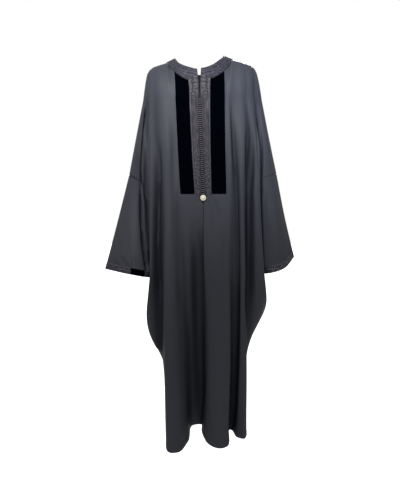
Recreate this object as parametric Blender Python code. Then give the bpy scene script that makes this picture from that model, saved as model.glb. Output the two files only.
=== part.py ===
"""A wide caftan with dropped sleeves, hanging in its worn form with nobody inside.

The origin is where the wearer holds it up, in the middle of the neck between the shoulder points
of the collar. The front faces -Y and +X is on the right of somebody who looks at the front.
Every cloth piece is a wall of even thickness on a surface that is worked out from fold lines.
A fold line runs from the neck or the shoulder down to the hem. The tables say how far out from
the centre plane it lies and how deep in front of the shoulder line, at a few named heights.
"""

import math

import bpy
import numpy as np

# Walls and gaps, metres
CLOTH = 0.0016
BRAID = 0.0016
VELVET = 0.0011
GAP = 0.0003
VELVET_INSET = 0.0004

# Heights below the neck, metres
YOKE_Z = -0.155
PLACKET_Z = -0.497
PLACKET_POINT_Z = -0.526
UNDERARM_Z = -0.600
TAPER_Z = -1.130
HEM_Z = -1.440
FRONT_ROWS_Z = (YOKE_Z, -0.240, -0.325, -0.410, PLACKET_Z)
BODY_ROWS_Z = (UNDERARM_Z, -0.700, -0.790, -0.840, -0.885, -0.930, -0.975, -1.010, -1.050, -1.090,
               TAPER_Z, -1.170, -1.230, -1.300, -1.370, HEM_Z)
ROUNDING_STEPS = 4
BAND_STEPS = 2
NECK_LINES = 4

# The knotted buttons of the placket
KNOTS_A_ROW = 12
KNOT_WIDTH = 0.0052
KNOT_HEIGHT = 0.0040
KNOT_VALLEY = 0.0012
KNOT_STEPS = ((0.0, False), (0.3, True), (0.7, True))
PLACKET_HALF = 0.0050
SLIT_LIP = 0.0015

# The round button on the point of the placket
BUTTON_RADIUS = 0.0110
BUTTON_HEIGHT = 0.0050
BUTTON_Z = -0.510
BUTTON_SIDES = 14

# Sleeves. The velvet insert of each cuff lies between two columns, counted from the underarm.
SLEEVE_STEPS = 6
CUFF_BAND = 0.027
CUFF_VELVET = {"left": (4, 6), "right": (0, 2)}

CENTRE_RISE = 0.003
SEAM_CLEAR = 0.007
SLEEVE_EASE = 0.0002
SHOULDER_ROUND = 0.35

# Centre line of the front: height, place to the right, depth
CENTRE = (
    (YOKE_Z, -0.0014, 0.105),
    (-0.325, 0.0047, 0.112),
    (PLACKET_Z, 0.0112, 0.118),
    (-0.790, 0.0147, 0.118),
    (-0.980, 0.0205, 0.111),
    (-1.130, 0.0222, 0.105),
    (HEM_Z, 0.0170, 0.096),
)

# Fold lines of the left front. Columns: name, cells up to the next line, then how far out it lies
# at the yoke, chest, placket end, cuff, wing, taper and hem, and last its rise at the hem.
LEFT_HEIGHTS = (YOKE_Z, -0.325, PLACKET_Z, -0.790, -1.010, -1.165, HEM_Z)
LEFT_OUT = (
    ("knots", 2, 0.0064, 0.0003, -0.0062, -0.0100, -0.0120, -0.0125, -0.0060, 0.020),
    ("braid", 2, 0.0375, 0.0299, 0.0190, 0.0020, -0.0020, -0.0040, -0.0060, 0.030),
    ("velvet", 4, 0.0888, 0.0811, 0.0714, 0.0360, 0.0320, 0.0290, 0.0260, 0.028),
    ("inner", 2, 0.1080, 0.1000, 0.0940, 0.0690, 0.0670, 0.0640, 0.0460, -0.010),
    ("crest", 2, 0.1300, 0.1180, 0.1130, 0.1040, 0.1020, 0.1000, 0.0850, -0.036),
    ("edge", 1, 0.1480, 0.1340, 0.1290, 0.1300, 0.1300, 0.1290, 0.1190, -0.033),
    ("step", 1, 0.1600, 0.1460, 0.1350, 0.1360, 0.1355, 0.1345, 0.1290, -0.028),
    ("trough", 2, 0.1720, 0.1620, 0.1500, 0.1520, 0.1560, 0.1390, 0.1280, -0.015),
    ("wing", 1, 0.1880, 0.1870, 0.1860, 0.1870, 0.1985, 0.1400, 0.1230, -0.008),
    ("tuck", 2, 0.1920, 0.1790, 0.1760, 0.1700, 0.2025, 0.1420, 0.1190, 0.000),
)
# The same lines and heights: how deep in front of the shoulder line each one lies.
LEFT_DEPTH = (
    ("knots", 0.105, 0.112, 0.118, 0.104, 0.088, 0.078, 0.056),
    ("braid", 0.104, 0.111, 0.117, 0.086, 0.070, 0.055, 0.014),
    ("velvet", 0.100, 0.110, 0.116, 0.090, 0.074, 0.058, 0.014),
    ("inner", 0.098, 0.111, 0.118, 0.112, 0.109, 0.104, 0.086),
    ("crest", 0.094, 0.115, 0.122, 0.127, 0.130, 0.132, 0.130),
    ("edge", 0.087, 0.112, 0.119, 0.124, 0.129, 0.131, 0.133),
    ("step", 0.080, 0.104, 0.107, 0.100, 0.101, 0.104, 0.116),
    ("trough", 0.071, 0.093, 0.094, 0.080, 0.072, 0.080, 0.084),
    ("wing", 0.057, 0.080, 0.085, 0.083, 0.044, 0.044, 0.052),
    ("tuck", 0.046, 0.056, 0.058, 0.052, 0.020, 0.020, 0.024),
)
LEFT_SIDE = (
    (UNDERARM_Z, 0.152),
    (-0.790, 0.142),
    (-1.010, 0.204),
    (-1.165, 0.141),
    (HEM_Z, 0.117),
)

# Fold lines of the right front, with the same columns.
RIGHT_HEIGHTS = (YOKE_Z, -0.325, PLACKET_Z, -0.790, -0.885, -1.100, HEM_Z)
RIGHT_OUT = (
    ("knots", 1, 0.0036, 0.0097, 0.0162, 0.0240, 0.0270, 0.0300, 0.0285, -0.006),
    ("braid", 1, 0.0358, 0.0375, 0.0413, 0.0500, 0.0520, 0.0550, 0.0550, -0.017),
    ("velvet", 4, 0.0898, 0.0919, 0.0960, 0.0800, 0.0820, 0.0860, 0.0850, -0.019),
    ("ridge", 2, 0.1040, 0.1050, 0.1060, 0.1040, 0.1060, 0.1090, 0.1060, -0.016),
    ("valley", 2, 0.1217, 0.1240, 0.1250, 0.1250, 0.1240, 0.1260, 0.1170, 0.020),
    ("rise", 2, 0.1500, 0.1520, 0.1500, 0.1530, 0.1520, 0.1520, 0.1450, 0.003),
    ("edge", 1, 0.1630, 0.1780, 0.1680, 0.1670, 0.1690, 0.1715, 0.1715, 0.002),
    ("crease", 2, 0.1690, 0.1880, 0.1760, 0.1725, 0.1750, 0.1760, 0.1800, 0.009),
    ("swell", 1, 0.1860, 0.2030, 0.1970, 0.2080, 0.2150, 0.1800, 0.1785, 0.009),
    ("wing", 1, 0.2010, 0.2185, 0.2215, 0.2400, 0.2500, 0.1825, 0.1720, 0.008),
    ("tuck", 2, 0.2060, 0.2110, 0.2110, 0.2140, 0.2535, 0.1825, 0.1680, 0.006),
)
RIGHT_DEPTH = (
    ("knots", 0.105, 0.112, 0.118, 0.123, 0.124, 0.119, 0.112),
    ("braid", 0.104, 0.111, 0.117, 0.128, 0.130, 0.131, 0.127),
    ("velvet", 0.100, 0.110, 0.116, 0.130, 0.132, 0.134, 0.130),
    ("ridge", 0.098, 0.112, 0.119, 0.125, 0.129, 0.129, 0.116),
    ("valley", 0.093, 0.105, 0.111, 0.104, 0.100, 0.086, 0.046),
    ("rise", 0.088, 0.112, 0.120, 0.118, 0.120, 0.113, 0.078),
    ("edge", 0.083, 0.103, 0.112, 0.113, 0.114, 0.112, 0.087),
    ("crease", 0.079, 0.086, 0.091, 0.084, 0.081, 0.078, 0.070),
    ("swell", 0.070, 0.089, 0.097, 0.088, 0.078, 0.062, 0.054),
    ("wing", 0.056, 0.078, 0.085, 0.075, 0.052, 0.044, 0.038),
    ("tuck", 0.044, 0.056, 0.062, 0.060, 0.026, 0.022, 0.020),
)
RIGHT_SIDE = (
    (UNDERARM_Z, 0.200),
    (-0.790, 0.186),
    (-0.885, 0.252),
    (-1.100, 0.180),
    (HEM_Z, 0.165),
)

# Fold lines of the back. Columns: name, cells up to the next line, share of the way out to the
# wing, then the depth behind the shoulder line at the same named heights.
BACK = (
    ("centre", 3, 0.00, 0.100, 0.110, 0.112, 0.106, 0.102, 0.098, 0.092),
    ("ridge", 3, 0.26, 0.099, 0.114, 0.121, 0.126, 0.128, 0.131, 0.131),
    ("valley", 3, 0.47, 0.096, 0.108, 0.108, 0.103, 0.098, 0.091, 0.082),
    ("crest", 3, 0.70, 0.088, 0.107, 0.115, 0.121, 0.121, 0.119, 0.118),
    ("hollow", 2, 0.88, 0.074, 0.093, 0.097, 0.093, 0.082, 0.079, 0.084),
)

# The neck edge and the outer edge of the collar band, from the centre to the shoulder line.
# Columns: name, then out, depth and height on the neck edge, then the same on the band's edge.
NECK_LEFT = (
    ("centre", 0.0100, 0.084, -0.0493, 0.0065, 0.0950, -0.0885),
    ("knots", 0.0115, 0.084, -0.0493, 0.0080, 0.0950, -0.0885),
    ("braid", 0.0398, 0.078, -0.0423, 0.0415, 0.0935, -0.0885),
    ("velvet", 0.0694, 0.056, -0.0300, 0.0930, 0.0700, -0.0575),
    ("shoulder", 0.0920, 0.000, -0.0045, 0.1255, 0.0000, -0.0210),
)
NECK_RIGHT = (
    ("centre", 0.0036, 0.084, -0.0465, 0.0014, 0.0950, -0.0840),
    ("knots", 0.0051, 0.084, -0.0465, 0.0029, 0.0950, -0.0840),
    ("braid", 0.0420, 0.076, -0.0353, 0.0371, 0.0935, -0.0840),
    ("velvet", 0.0655, 0.054, -0.0186, 0.0877, 0.0690, -0.0556),
    ("shoulder", 0.0867, 0.000, 0.0050, 0.1207, 0.0000, -0.0089),
)
NECK_BACK = (
    ("centre", 0.0000, 0.082, -0.0560, 0.0000, 0.0925, -0.0920),
    ("ridge", 0.0400, 0.077, -0.0530, 0.0500, 0.0900, -0.0890),
    ("valley", 0.0710, 0.054, -0.0430, 0.0930, 0.0640, -0.0690),
)

# The shoulder line outside the collar: out and height, up to the top of the arm.
SHOULDER_LEFT = (
    (0.1255, -0.0210), (0.1500, -0.0285), (0.1710, -0.0355), (0.1850, -0.0455), (0.1934, -0.0580),
)
SHOULDER_RIGHT = (
    (0.1207, -0.0089), (0.1566, -0.0185), (0.1850, -0.0290), (0.1985, -0.0385), (0.2057, -0.0500),
)

# Lines that run over the dropped sleeve, from the underarm to the top of the arm. Columns: name,
# cells up to the next line, then out, depth and height at the yoke, half way and at the armhole.
ARM_LEFT = (
    ("under", 2, 0.1960, 0.036, YOKE_Z, 0.1740, 0.030, -0.385, 0.152, 0.000, UNDERARM_Z),
    ("recess", 2, 0.2010, 0.031, YOKE_Z, 0.1980, 0.026, -0.362, 0.205, 0.022, -0.510),
    ("fold", 2, 0.2055, 0.027, YOKE_Z, 0.2140, 0.044, -0.335, 0.2175, 0.043, -0.4626),
    ("outer", 2, 0.2080, 0.016, YOKE_Z, 0.2315, 0.033, -0.312, 0.242, 0.036, -0.440),
    ("top", 0, 0.2112, 0.000, YOKE_Z, 0.2395, 0.000, -0.293, 0.267, 0.000, -0.432),
)
ARM_RIGHT = (
    ("under", 2, 0.2110, 0.036, YOKE_Z, 0.2080, 0.034, -0.385, 0.200, 0.000, UNDERARM_Z),
    ("recess", 2, 0.2165, 0.032, YOKE_Z, 0.2260, 0.036, -0.362, 0.224, 0.036, -0.478),
    ("fold", 2, 0.2215, 0.027, YOKE_Z, 0.2380, 0.042, -0.335, 0.237, 0.047, -0.4430),
    ("outer", 2, 0.2265, 0.016, YOKE_Z, 0.2500, 0.032, -0.312, 0.263, 0.037, -0.434),
    ("top", 0, 0.2299, 0.000, YOKE_Z, 0.2585, 0.000, -0.293, 0.2885, 0.000, -0.429),
)

# The same lines further down the sleeve: out, depth and height half way and at the cuff.
CUFF_LEFT = (
    ("under", 0.160, 0.000, -0.715, 0.168, 0.000, -0.822),
    ("recess", 0.195, 0.026, -0.672, 0.184, 0.034, -0.819),
    ("fold", 0.214, 0.044, -0.645, 0.207, 0.047, -0.815),
    ("outer", 0.262, 0.046, -0.625, 0.262, 0.050, -0.805),
    ("top", 0.3145, 0.000, -0.612, 0.364, 0.000, -0.7915),
)
CUFF_RIGHT = (
    ("under", 0.213, 0.000, -0.707, 0.222, 0.000, -0.806),
    ("recess", 0.229, 0.036, -0.650, 0.238, 0.038, -0.804),
    ("fold", 0.250, 0.048, -0.620, 0.264, 0.048, -0.800),
    ("outer", 0.293, 0.043, -0.604, 0.320, 0.037, -0.783),
    ("top", 0.3215, 0.000, -0.588, 0.3605, 0.000, -0.745),
)

# Finishes: colour, roughness, metallic
FINISH = {
    "cloth": ((0.040, 0.042, 0.047), 0.55, 0.0),
    "braid": ((0.075, 0.070, 0.080), 0.60, 0.0),
    "velvet": ((0.004, 0.005, 0.009), 0.90, 0.0),
    "knot": ((0.035, 0.034, 0.040), 0.60, 0.0),
    "button": ((0.620, 0.570, 0.480), 0.30, 0.8),
}


def clear_scene():
    """Removes every object of the start-up scene."""
    for thing in list(bpy.data.objects):
        bpy.data.objects.remove(thing, do_unlink=True)


def finish_material(kind):
    """One Principled material for each kind of surface."""
    colour, roughness, metallic = FINISH[kind]
    material = bpy.data.materials.new(kind)
    material.use_nodes = True
    shader = material.node_tree.nodes["Principled BSDF"]
    shader.inputs["Base Color"].default_value = (*colour, 1.0)
    shader.inputs["Roughness"].default_value = roughness
    shader.inputs["Metallic"].default_value = metallic
    return material


def curve_through(points, knots, at):
    """A smooth curve through points at their knots, read at each place in at."""
    points = np.asarray(points, float).reshape(len(knots), -1)
    knots = np.asarray(knots, float)
    steps = np.diff(knots)
    slopes = np.diff(points, axis=0) / steps[:, None]
    tangents = np.vstack([slopes[:1], slopes, slopes[-1:]])
    before, after = np.r_[steps[0], steps], np.r_[steps, steps[-1]]
    share = (before / (before + after))[:, None]
    tangents = tangents[:-1] * (1 - share) + tangents[1:] * share
    at = np.atleast_1d(np.asarray(at, float))
    cell = np.clip(np.searchsorted(knots, at, side="right") - 1, 0, len(steps) - 1)
    u = ((at - knots[cell]) / steps[cell])[:, None]
    reach = steps[cell][:, None]
    start = (1 + 2 * u) * (1 - u) ** 2 * points[cell] + u * (1 - u) ** 2 * reach * tangents[cell]
    end = u * u * (3 - 2 * u) * points[cell + 1] + u * u * (u - 1) * reach * tangents[cell + 1]
    return start + end


def across(points, places, closing=None):
    """A smooth curve over one row of line points, read at fractional line numbers."""
    points = np.asarray(points, float)
    if closing is not None:
        points = np.vstack([points, closing])
    steps = np.maximum(np.linalg.norm(np.diff(points, axis=0), axis=1), 1e-6)
    knots = np.r_[0.0, np.cumsum(steps)]
    at = np.interp(places, np.arange(len(knots)), knots)
    return curve_through(points, knots, at)


def down(heights, values, z):
    """One line's value at height z, smooth between its named heights."""
    return float(curve_through(values, -np.asarray(heights, float), -z)[0, 0])


def centre_at(z):
    """Place to the right and depth of the centre-front line."""
    heights = [row[0] for row in CENTRE]
    return down(heights, [row[1] for row in CENTRE], z), down(heights, [row[2] for row in CENTRE], z)


class Side:
    """The tables of one side of the garment, with sign -1 on the left and +1 on the right."""

    def __init__(self, sign, heights, out, depth, side, neck, shoulder, arm, cuff):
        self.sign = sign
        self.heights = heights
        self.out = out
        self.depth = depth
        self.side = side
        self.neck = neck
        self.shoulder = shoulder
        self.arm = arm
        self.cuff = cuff
        self.side_line = len(out) + 1

    def side_out(self, z):
        """How far out the side seam lies."""
        return down([row[0] for row in self.side], [row[1] for row in self.side], z)

    def folds_at(self, z):
        """Out, depth and rise of every body fold line of the front at height z."""
        x, depth = centre_at(z)
        rise = CENTRE_RISE * max(0.0, (TAPER_Z - z) / (TAPER_Z - HEM_Z))
        rows = [(self.sign * x, depth, rise)]
        for line, deep in zip(self.out, self.depth):
            rows.append((down(self.heights, line[2:9], z), down(self.heights, deep[1:], z),
                         self.hem_rise(z, line[9])))
        return np.array(rows)

    def hem_rise(self, z, rise):
        """How far a line's own hem height lifts it at height z."""
        return rise * max(0.0, (self.heights[5] - z) / (self.heights[5] - HEM_Z))

    def ridge_height(self, out):
        """Height of the shoulder line outside the collar."""
        return float(np.interp(out, [p[0] for p in self.shoulder], [p[1] for p in self.shoulder]))

    def arm_at(self, z):
        """Out, depth and height of the sleeve lines for the body row at height z."""
        share = (YOKE_Z - z) / (YOKE_Z - UNDERARM_Z)
        rows = []
        for line in self.arm:
            marks = np.array(line[2:]).reshape(3, 3)
            rows.append(curve_through(marks, (0.0, 0.5, 1.0), share)[0])
        return np.array(rows)


LEFT = Side(-1, LEFT_HEIGHTS, LEFT_OUT, LEFT_DEPTH, LEFT_SIDE, NECK_LEFT, SHOULDER_LEFT, ARM_LEFT,
            CUFF_LEFT)
RIGHT = Side(1, RIGHT_HEIGHTS, RIGHT_OUT, RIGHT_DEPTH, RIGHT_SIDE, NECK_RIGHT, SHOULDER_RIGHT,
             ARM_RIGHT, CUFF_RIGHT)


def places_along(cells):
    """Fractional line numbers, with each stretch between two lines cut into its cells."""
    places = [0.0]
    for line, count in enumerate(cells):
        places += [line + (k + 1) / count for k in range(count)]
    return places


def front_cells(side):
    """Cells between neighbouring lines of the front, from the centre to the top of the arm."""
    return [1] + [line[1] for line in side.out] + [line[1] for line in side.arm[:-1]]


def back_cells(side):
    """Cells between neighbouring lines of the back. The last ones match the front."""
    return ([line[1] for line in BACK] + [side.out[-2][1], side.out[-1][1]]
            + [line[1] for line in side.arm[:-1]])


def back_line_row(side, z):
    """Out, depth and height of the back's lines, whose wing and tuck mirror those of the front."""
    front = side.folds_at(z)
    wing, tuck = front[-2], front[-1]
    rows = []
    for line in BACK:
        rows.append((line[2] * wing[0], down(side.heights, line[3:], z), z))
    rows.append((wing[0], wing[1], z))
    rows.append((tuck[0], tuck[1], z))
    return np.array(rows)


def rounded_rows(start, yoke):
    """Rows that round the cloth over the shoulder, from the start row down to the yoke row.

    Cloth that starts on the shoulder line falls nearly straight outside it.
    """
    share = np.clip(start[:, 1] / np.maximum(yoke[:, 1], 1e-6), 0.0, 0.98)
    first = np.arcsin(share)
    top = YOKE_Z + (start[:, 2] - YOKE_Z) / np.cos(first)
    rows = []
    for step in range(1, ROUNDING_STEPS):
        turn = first + (math.pi / 2 - first) * step / ROUNDING_STEPS
        along = (np.sin(turn) - share) / (1 - share)
        falling = SHOULDER_ROUND * along + (1 - SHOULDER_ROUND) * (1 - np.cos(turn))
        along = np.where(start[:, 1] < 1e-6, falling, along)
        out = start[:, 0] + (yoke[:, 0] - start[:, 0]) * along
        depth = np.maximum(yoke[:, 1], 1e-6) * np.sin(turn)
        depth = np.where(yoke[:, 1] < 1e-5, 0.0, depth)
        rows.append(np.column_stack([out, depth, YOKE_Z + (top - YOKE_Z) * np.cos(turn)]))
    return rows


def top_rows(side, neck, yoke, places):
    """Neck edge, middle of the band, and the band's edge that goes on as the shoulder line."""
    neck_places = [p for p in places if p <= len(neck) - 1]
    edge = across([row[1:4] for row in neck], neck_places)
    band = across([row[4:7] for row in neck], neck_places)
    edge[:, 1] = np.maximum(edge[:, 1], 0.0)
    band[:, 1] = np.maximum(band[:, 1], 0.0)
    rest = len(places) - len(neck_places)
    tip = side.shoulder[-1][0]
    first = side.shoulder[0][0]
    yoke_out = yoke[len(neck_places):, 0]
    share = (yoke_out - yoke[len(neck_places) - 1, 0]) / (yoke_out[-1] - yoke[len(neck_places) - 1, 0])
    ridge_out = first + (tip - first) * share
    ridge = np.array([(out, 0.0, side.ridge_height(out)) for out in ridge_out])
    filler = np.zeros((rest, 3))
    lower = np.vstack([band, ridge])
    rows = []
    for step in range(BAND_STEPS):
        part = edge + (band - edge) * step / BAND_STEPS
        if step:
            lift = 1 - (2 * step / BAND_STEPS - 1) ** 2
            part[:, 1] += lift * 0.0015 * (part[:, 1] > 0.001)
        rows.append(np.vstack([part, filler]))
    rows.append(lower)
    return rows


def underarm_mirror(tuck, side_point):
    """A point beyond the side seam that lets the cloth meet the seam squarely."""
    return np.array([tuck[0], -tuck[1], side_point[2]])


def body_panel(side, back):
    """Rows of (out, depth, height) for one half of the front or back, from neck to hem.

    The rows above the underarm reach the top of the arm. Those below stop at the side seam, and
    their unused columns stay empty.
    """
    cells = back_cells(side) if back else front_cells(side)
    places = places_along(cells)
    lines_at = back_line_row if back else (lambda s, z: side.folds_at(z))
    seam_line = (len(BACK) + 2) if back else side.side_line
    neck = (NECK_BACK[:3] + (("crest",) + side.neck[-1][1:],)) if back else side.neck

    under = column_of(places, seam_line)
    arm_places = [p - seam_line for p in places[under:]]

    def full_row(z):
        body = np.array(lines_at(side, z))
        body[:, 2] = z
        arm = side.arm_at(z)
        smooth = across(np.vstack([body, arm]), places)
        mirror = underarm_mirror(body[-1], arm[0])
        creased = np.vstack([across(np.vstack([body, arm[:1]]), places[:under + 1], mirror)[:under],
                             across(arm, arm_places)])
        share = np.clip((YOKE_Z - z) / (YOKE_Z - PLACKET_Z), 0.0, 1.0)
        row = smooth + (creased - smooth) * share ** 2
        row[under + 1:-1, 1] = np.maximum(row[under + 1:-1, 1], SEAM_CLEAR)
        return row

    yoke = full_row(YOKE_Z)
    yoke[-1, 1] = 0.0
    rows = top_rows(side, neck, yoke, places)
    rows += rounded_rows(rows[-1], yoke)
    rows.append(yoke)
    rows += [full_row(z) for z in FRONT_ROWS_Z[1:]]
    rows.append(full_row(UNDERARM_Z))
    below = [p for p in places if p <= seam_line]
    for z in BODY_ROWS_Z[1:]:
        lines = np.array(lines_at(side, z))
        rise = np.zeros(len(lines)) if back else lines[:, 2].copy()
        lines[:, 2] = z + rise
        seam = np.array([side.side_out(z), 0.0, z])
        row = across(np.vstack([lines, seam]), below, underarm_mirror(lines[-1], seam))
        rows.append(np.vstack([row, np.zeros((len(places) - len(below), 3))]))
    rows = np.array(rows)
    rows[:, -1, 1] = 0.0
    if not back:
        shape_placket(side, rows)
    used = np.ones(rows.shape[:2], bool)
    used[:BAND_STEPS, len([p for p in places if p <= len(neck) - 1]):] = False
    used[underarm_row() + 1:, len(below):] = False
    return rows, used, places


def yoke_row():
    """Number of the row at the yoke."""
    return BAND_STEPS + ROUNDING_STEPS


def placket_row():
    """Number of the row at the end of the placket."""
    return yoke_row() + len(FRONT_ROWS_Z) - 1


def underarm_row():
    """Number of the row at the underarm."""
    return placket_row() + 1


def shape_placket(side, rows):
    """Opens the neck slit above the yoke and draws the placket's end down to its point."""
    for row in range(BAND_STEPS + 1, yoke_row()):
        share = (rows[row, 0, 2] - YOKE_Z) / (rows[BAND_STEPS, 0, 2] - YOKE_Z)
        start = rows[BAND_STEPS, 0, 0]
        end = rows[yoke_row(), 0, 0]
        rows[row, 0, 0] = end + (start - end) * share
        rows[row, 1, 0] = rows[row, 0, 0] + SLIT_LIP + (PLACKET_HALF - SLIT_LIP) * (1 - share)
    drop = PLACKET_POINT_Z - PLACKET_Z
    width = rows[placket_row(), :, 0] - rows[placket_row(), 0, 0]
    braid_column = 2 + side.out[0][1] - 1
    reach = width[braid_column]
    for column in range(braid_column):
        rows[placket_row(), column, 2] = PLACKET_Z + drop * (1 - width[column] / reach)


def to_world(side, rows, back):
    """World points from out, depth and height."""
    points = rows.copy()
    points[..., 0] = side.sign * rows[..., 0]
    points[..., 1] = rows[..., 1] if back else -rows[..., 1]
    return points


class Sheet:
    """An open surface: a grid of points, which cells are cloth, and which way it faces."""

    def __init__(self, points, cells, flip):
        self.points = points
        self.cells = cells
        self.flip = flip
        self.normals = None
        self.places = None

    def faces(self, cells=None):
        """Corner numbers of each cell that is cloth, counted round the way it faces.

        Each one starts on its shorter diagonal, which is where it bends.
        """
        cells = self.cells if cells is None else cells
        flat = self.points.reshape(-1, 3)
        wide = self.points.shape[1]
        found = []
        for i, j in zip(*np.nonzero(cells)):
            right = (j + 1) % wide
            quad = (i * wide + j, (i + 1) * wide + j, (i + 1) * wide + right, i * wide + right)
            first, second = flat[quad[0]] - flat[quad[2]], flat[quad[1]] - flat[quad[3]]
            if np.linalg.norm(first) > np.linalg.norm(second):
                quad = quad[1:] + quad[:1]
            found.append((quad[0], *quad[:0:-1]) if self.flip else quad)
        return found


def sheet_from(side, back):
    """The front or back half of one side as a sheet, whose last column is the top of the arm."""
    rows, used, places = body_panel(side, back)
    cells = used[:-1, :-1] & used[1:, :-1] & used[:-1, 1:] & used[1:, 1:]
    flip = (side.sign < 0) != back
    return Sheet(to_world(side, rows, back), cells, flip), places


def joined_back():
    """Both back halves as one sheet, from the left arm over the centre to the right arm."""
    left, left_places = sheet_from(LEFT, True)
    right, right_places = sheet_from(RIGHT, True)
    points = np.concatenate([left.points[:, ::-1], right.points[:, 1:]], axis=1)
    cells = np.concatenate([left.cells[:, ::-1], right.cells], axis=1)
    return Sheet(points, cells, True), len(left_places) - 1


def sleeve_sheet(side, front, back, first, back_first):
    """The sleeve tube, whose first row is the armhole edge of the front and back.

    The columns start at the underarm, run over the front to the top of the arm and come back
    down the rear half.
    """
    row = underarm_row()
    armhole_front = front.points[row, first:]
    armhole_back = back[row, back_first:]
    places = places_along([line[1] for line in side.arm[:-1]])
    loops = []
    for face, armhole in ((-1, armhole_front), (1, armhole_back)):
        middle = across([line[1:4] for line in side.cuff], places)
        cuff = across([line[4:7] for line in side.cuff], places)
        for marks in (middle, cuff):
            marks[:, 0] *= side.sign
            marks[:, 1] = np.maximum(marks[:, 1], 0.0) * face
            marks[0, 1] = 0.0
            marks[-1, 1] = 0.0
        length = np.linalg.norm(cuff - armhole, axis=1)
        band = 1 - CUFF_BAND / length
        grid = []
        for step in range(SLEEVE_STEPS + 1):
            share = band * step / SLEEVE_STEPS
            grid.append([curve_through((armhole[k], middle[k], cuff[k]), (0.0, 0.5, 1.0), share[k])[0]
                         for k in range(len(places))])
        grid.append(cuff)
        loops.append(np.array(grid))
    points = np.concatenate([loops[0], loops[1][:, -2:0:-1]], axis=1)
    cells = np.ones((points.shape[0] - 1, points.shape[1]), bool)
    return Sheet(points, cells, side.sign < 0)


def key(point):
    """A point rounded so that the same place on two pieces compares equal."""
    return tuple(int(round(value * 1e5)) for value in point)


def shared_normals(sheets):
    """The outward direction at each place, averaged over every piece that meets there."""
    sums = {}
    for sheet in sheets:
        flat = sheet.points.reshape(-1, 3)
        for face in sheet.faces():
            a, b, c, d = (flat[n] for n in face)
            turn = np.cross(c - a, d - b)
            turn /= max(np.linalg.norm(turn), 1e-12)
            for n in face:
                mark = key(flat[n])
                sums[mark] = sums.get(mark, np.zeros(3)) + turn
    normals = {}
    for mark, total in sums.items():
        total = total.copy()
        if mark[1] == 0:
            total[1] = 0.0
        normals[mark] = total / np.linalg.norm(total)
    for side in (LEFT, RIGHT):
        pit = side.arm[0]
        mark = key((side.sign * pit[8], 0.0, pit[10]))
        normals[mark] = np.array([0.0, 0.0, -1.0])
    return normals


def keep_normals(sheet, normals):
    """Stores the outward direction and the first place of every point of a sheet's grid."""
    sheet.places = sheet.points.copy()
    sheet.normals = np.zeros_like(sheet.points)
    for i, j in np.ndindex(sheet.points.shape[:2]):
        sheet.normals[i, j] = normals.get(key(sheet.points[i, j]), (0.0, 0.0, 0.0))


def inset_grid(points, cells, inset):
    """Moves the edge points of the marked cells inwards along the grid."""
    moved = points.copy()
    rows, columns = cells.shape
    padded = np.pad(cells, 1)
    for i in range(rows + 1):
        for j in range(columns + 1):
            up_left, up_right = padded[i, j], padded[i, j + 1]
            low_left, low_right = padded[i + 1, j], padded[i + 1, j + 1]
            if not (up_left or up_right or low_left or low_right):
                continue
            right_open = not (up_right or low_right)
            left_open = not (up_left or low_left)
            up_open = not (up_left or up_right)
            low_open = not (low_left or low_right)
            if right_open or left_open:
                other = points[i, j - 1] if right_open else points[i, j + 1]
                way = other - points[i, j]
                moved[i, j] += way / np.linalg.norm(way) * inset
            if up_open or low_open:
                other = points[i + 1, j] if up_open else points[i - 1, j]
                way = other - points[i, j]
                moved[i, j] += way / np.linalg.norm(way) * inset
    return moved


def wall(name, sheet, near, far, material, cells=None, inset=0.0):
    """A closed wall on a sheet, between two distances out from its points."""
    cells = sheet.cells if cells is None else cells
    points = inset_grid(sheet.points, cells, inset) if inset else sheet.points
    outer_all = (points + sheet.normals * far).reshape(-1, 3)
    inner_all = (points + sheet.normals * near).reshape(-1, 3)
    faces = sheet.faces(cells)
    used = sorted({n for face in faces for n in face})
    number = {n: k for k, n in enumerate(used)}
    count = len(used)
    vertices = np.vstack([outer_all[used], inner_all[used]])
    places = [key(place) for place in sheet.places.reshape(-1, 3)[used]]
    outer = [tuple(number[n] for n in face) for face in faces]
    inner = [tuple(n + count for n in (face[0], *face[:0:-1])) for face in outer]
    edges = {}
    for face in outer:
        for a, b in zip(face, face[1:] + face[:1]):
            edges[(a, b)] = True
    rim = []
    for a, b in edges:
        if (b, a) not in edges:
            first_is_b = places[b] < places[a]
            rim.append((b, a, a + count, b + count) if first_is_b else (a, a + count, b + count, b))
    return mesh_object(name, vertices, outer + inner + rim, material)


def mesh_object(name, vertices, faces, material):
    """A named object from points and faces, shaded smooth apart from its sharp edges."""
    mesh = bpy.data.meshes.new(name)
    mesh.from_pydata([tuple(map(float, v)) for v in vertices], [], faces)
    mesh.validate()
    mesh.update()
    mesh.shade_smooth()
    mesh.set_sharp_from_angle(angle=math.radians(50))
    mesh.materials.append(material)
    thing = bpy.data.objects.new(name, mesh)
    bpy.context.scene.collection.objects.link(thing)
    return thing


def part_seams(fronts, back, sleeves, firsts, back_firsts):
    """Moves the points on each seam half a gap back into their own piece."""
    half = GAP / 2
    row = underarm_row()
    for side, front, sleeve, first, back_first in zip((LEFT, RIGHT), fronts, sleeves, firsts,
                                                      back_firsts):
        way = sleeve.points[1] - sleeve.points[0]
        way /= np.linalg.norm(way, axis=1)[:, None]
        over = front.points.shape[1] - first
        front.points[row, first:] -= way[:over] * half
        rear = np.concatenate([way[:1], way[over:][::-1], way[over - 1:over]])
        if side.sign < 0:
            back.points[row, :back_first + 1] -= rear[::-1] * half
        else:
            back.points[row, back_first:] -= rear * half
        sleeve.points[0] += way * (half + SLEEVE_EASE)
        level = np.abs(front.points[..., 1]) < half
        front.points[level, 1] -= half
        inward = front.points[yoke_row():, 1] - front.points[yoke_row():, 0]
        inward /= np.linalg.norm(inward, axis=1)[:, None]
        front.points[yoke_row():, 0] += inward * half
    level = np.abs(back.points[..., 1]) < half
    back.points[level, 1] += half


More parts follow.
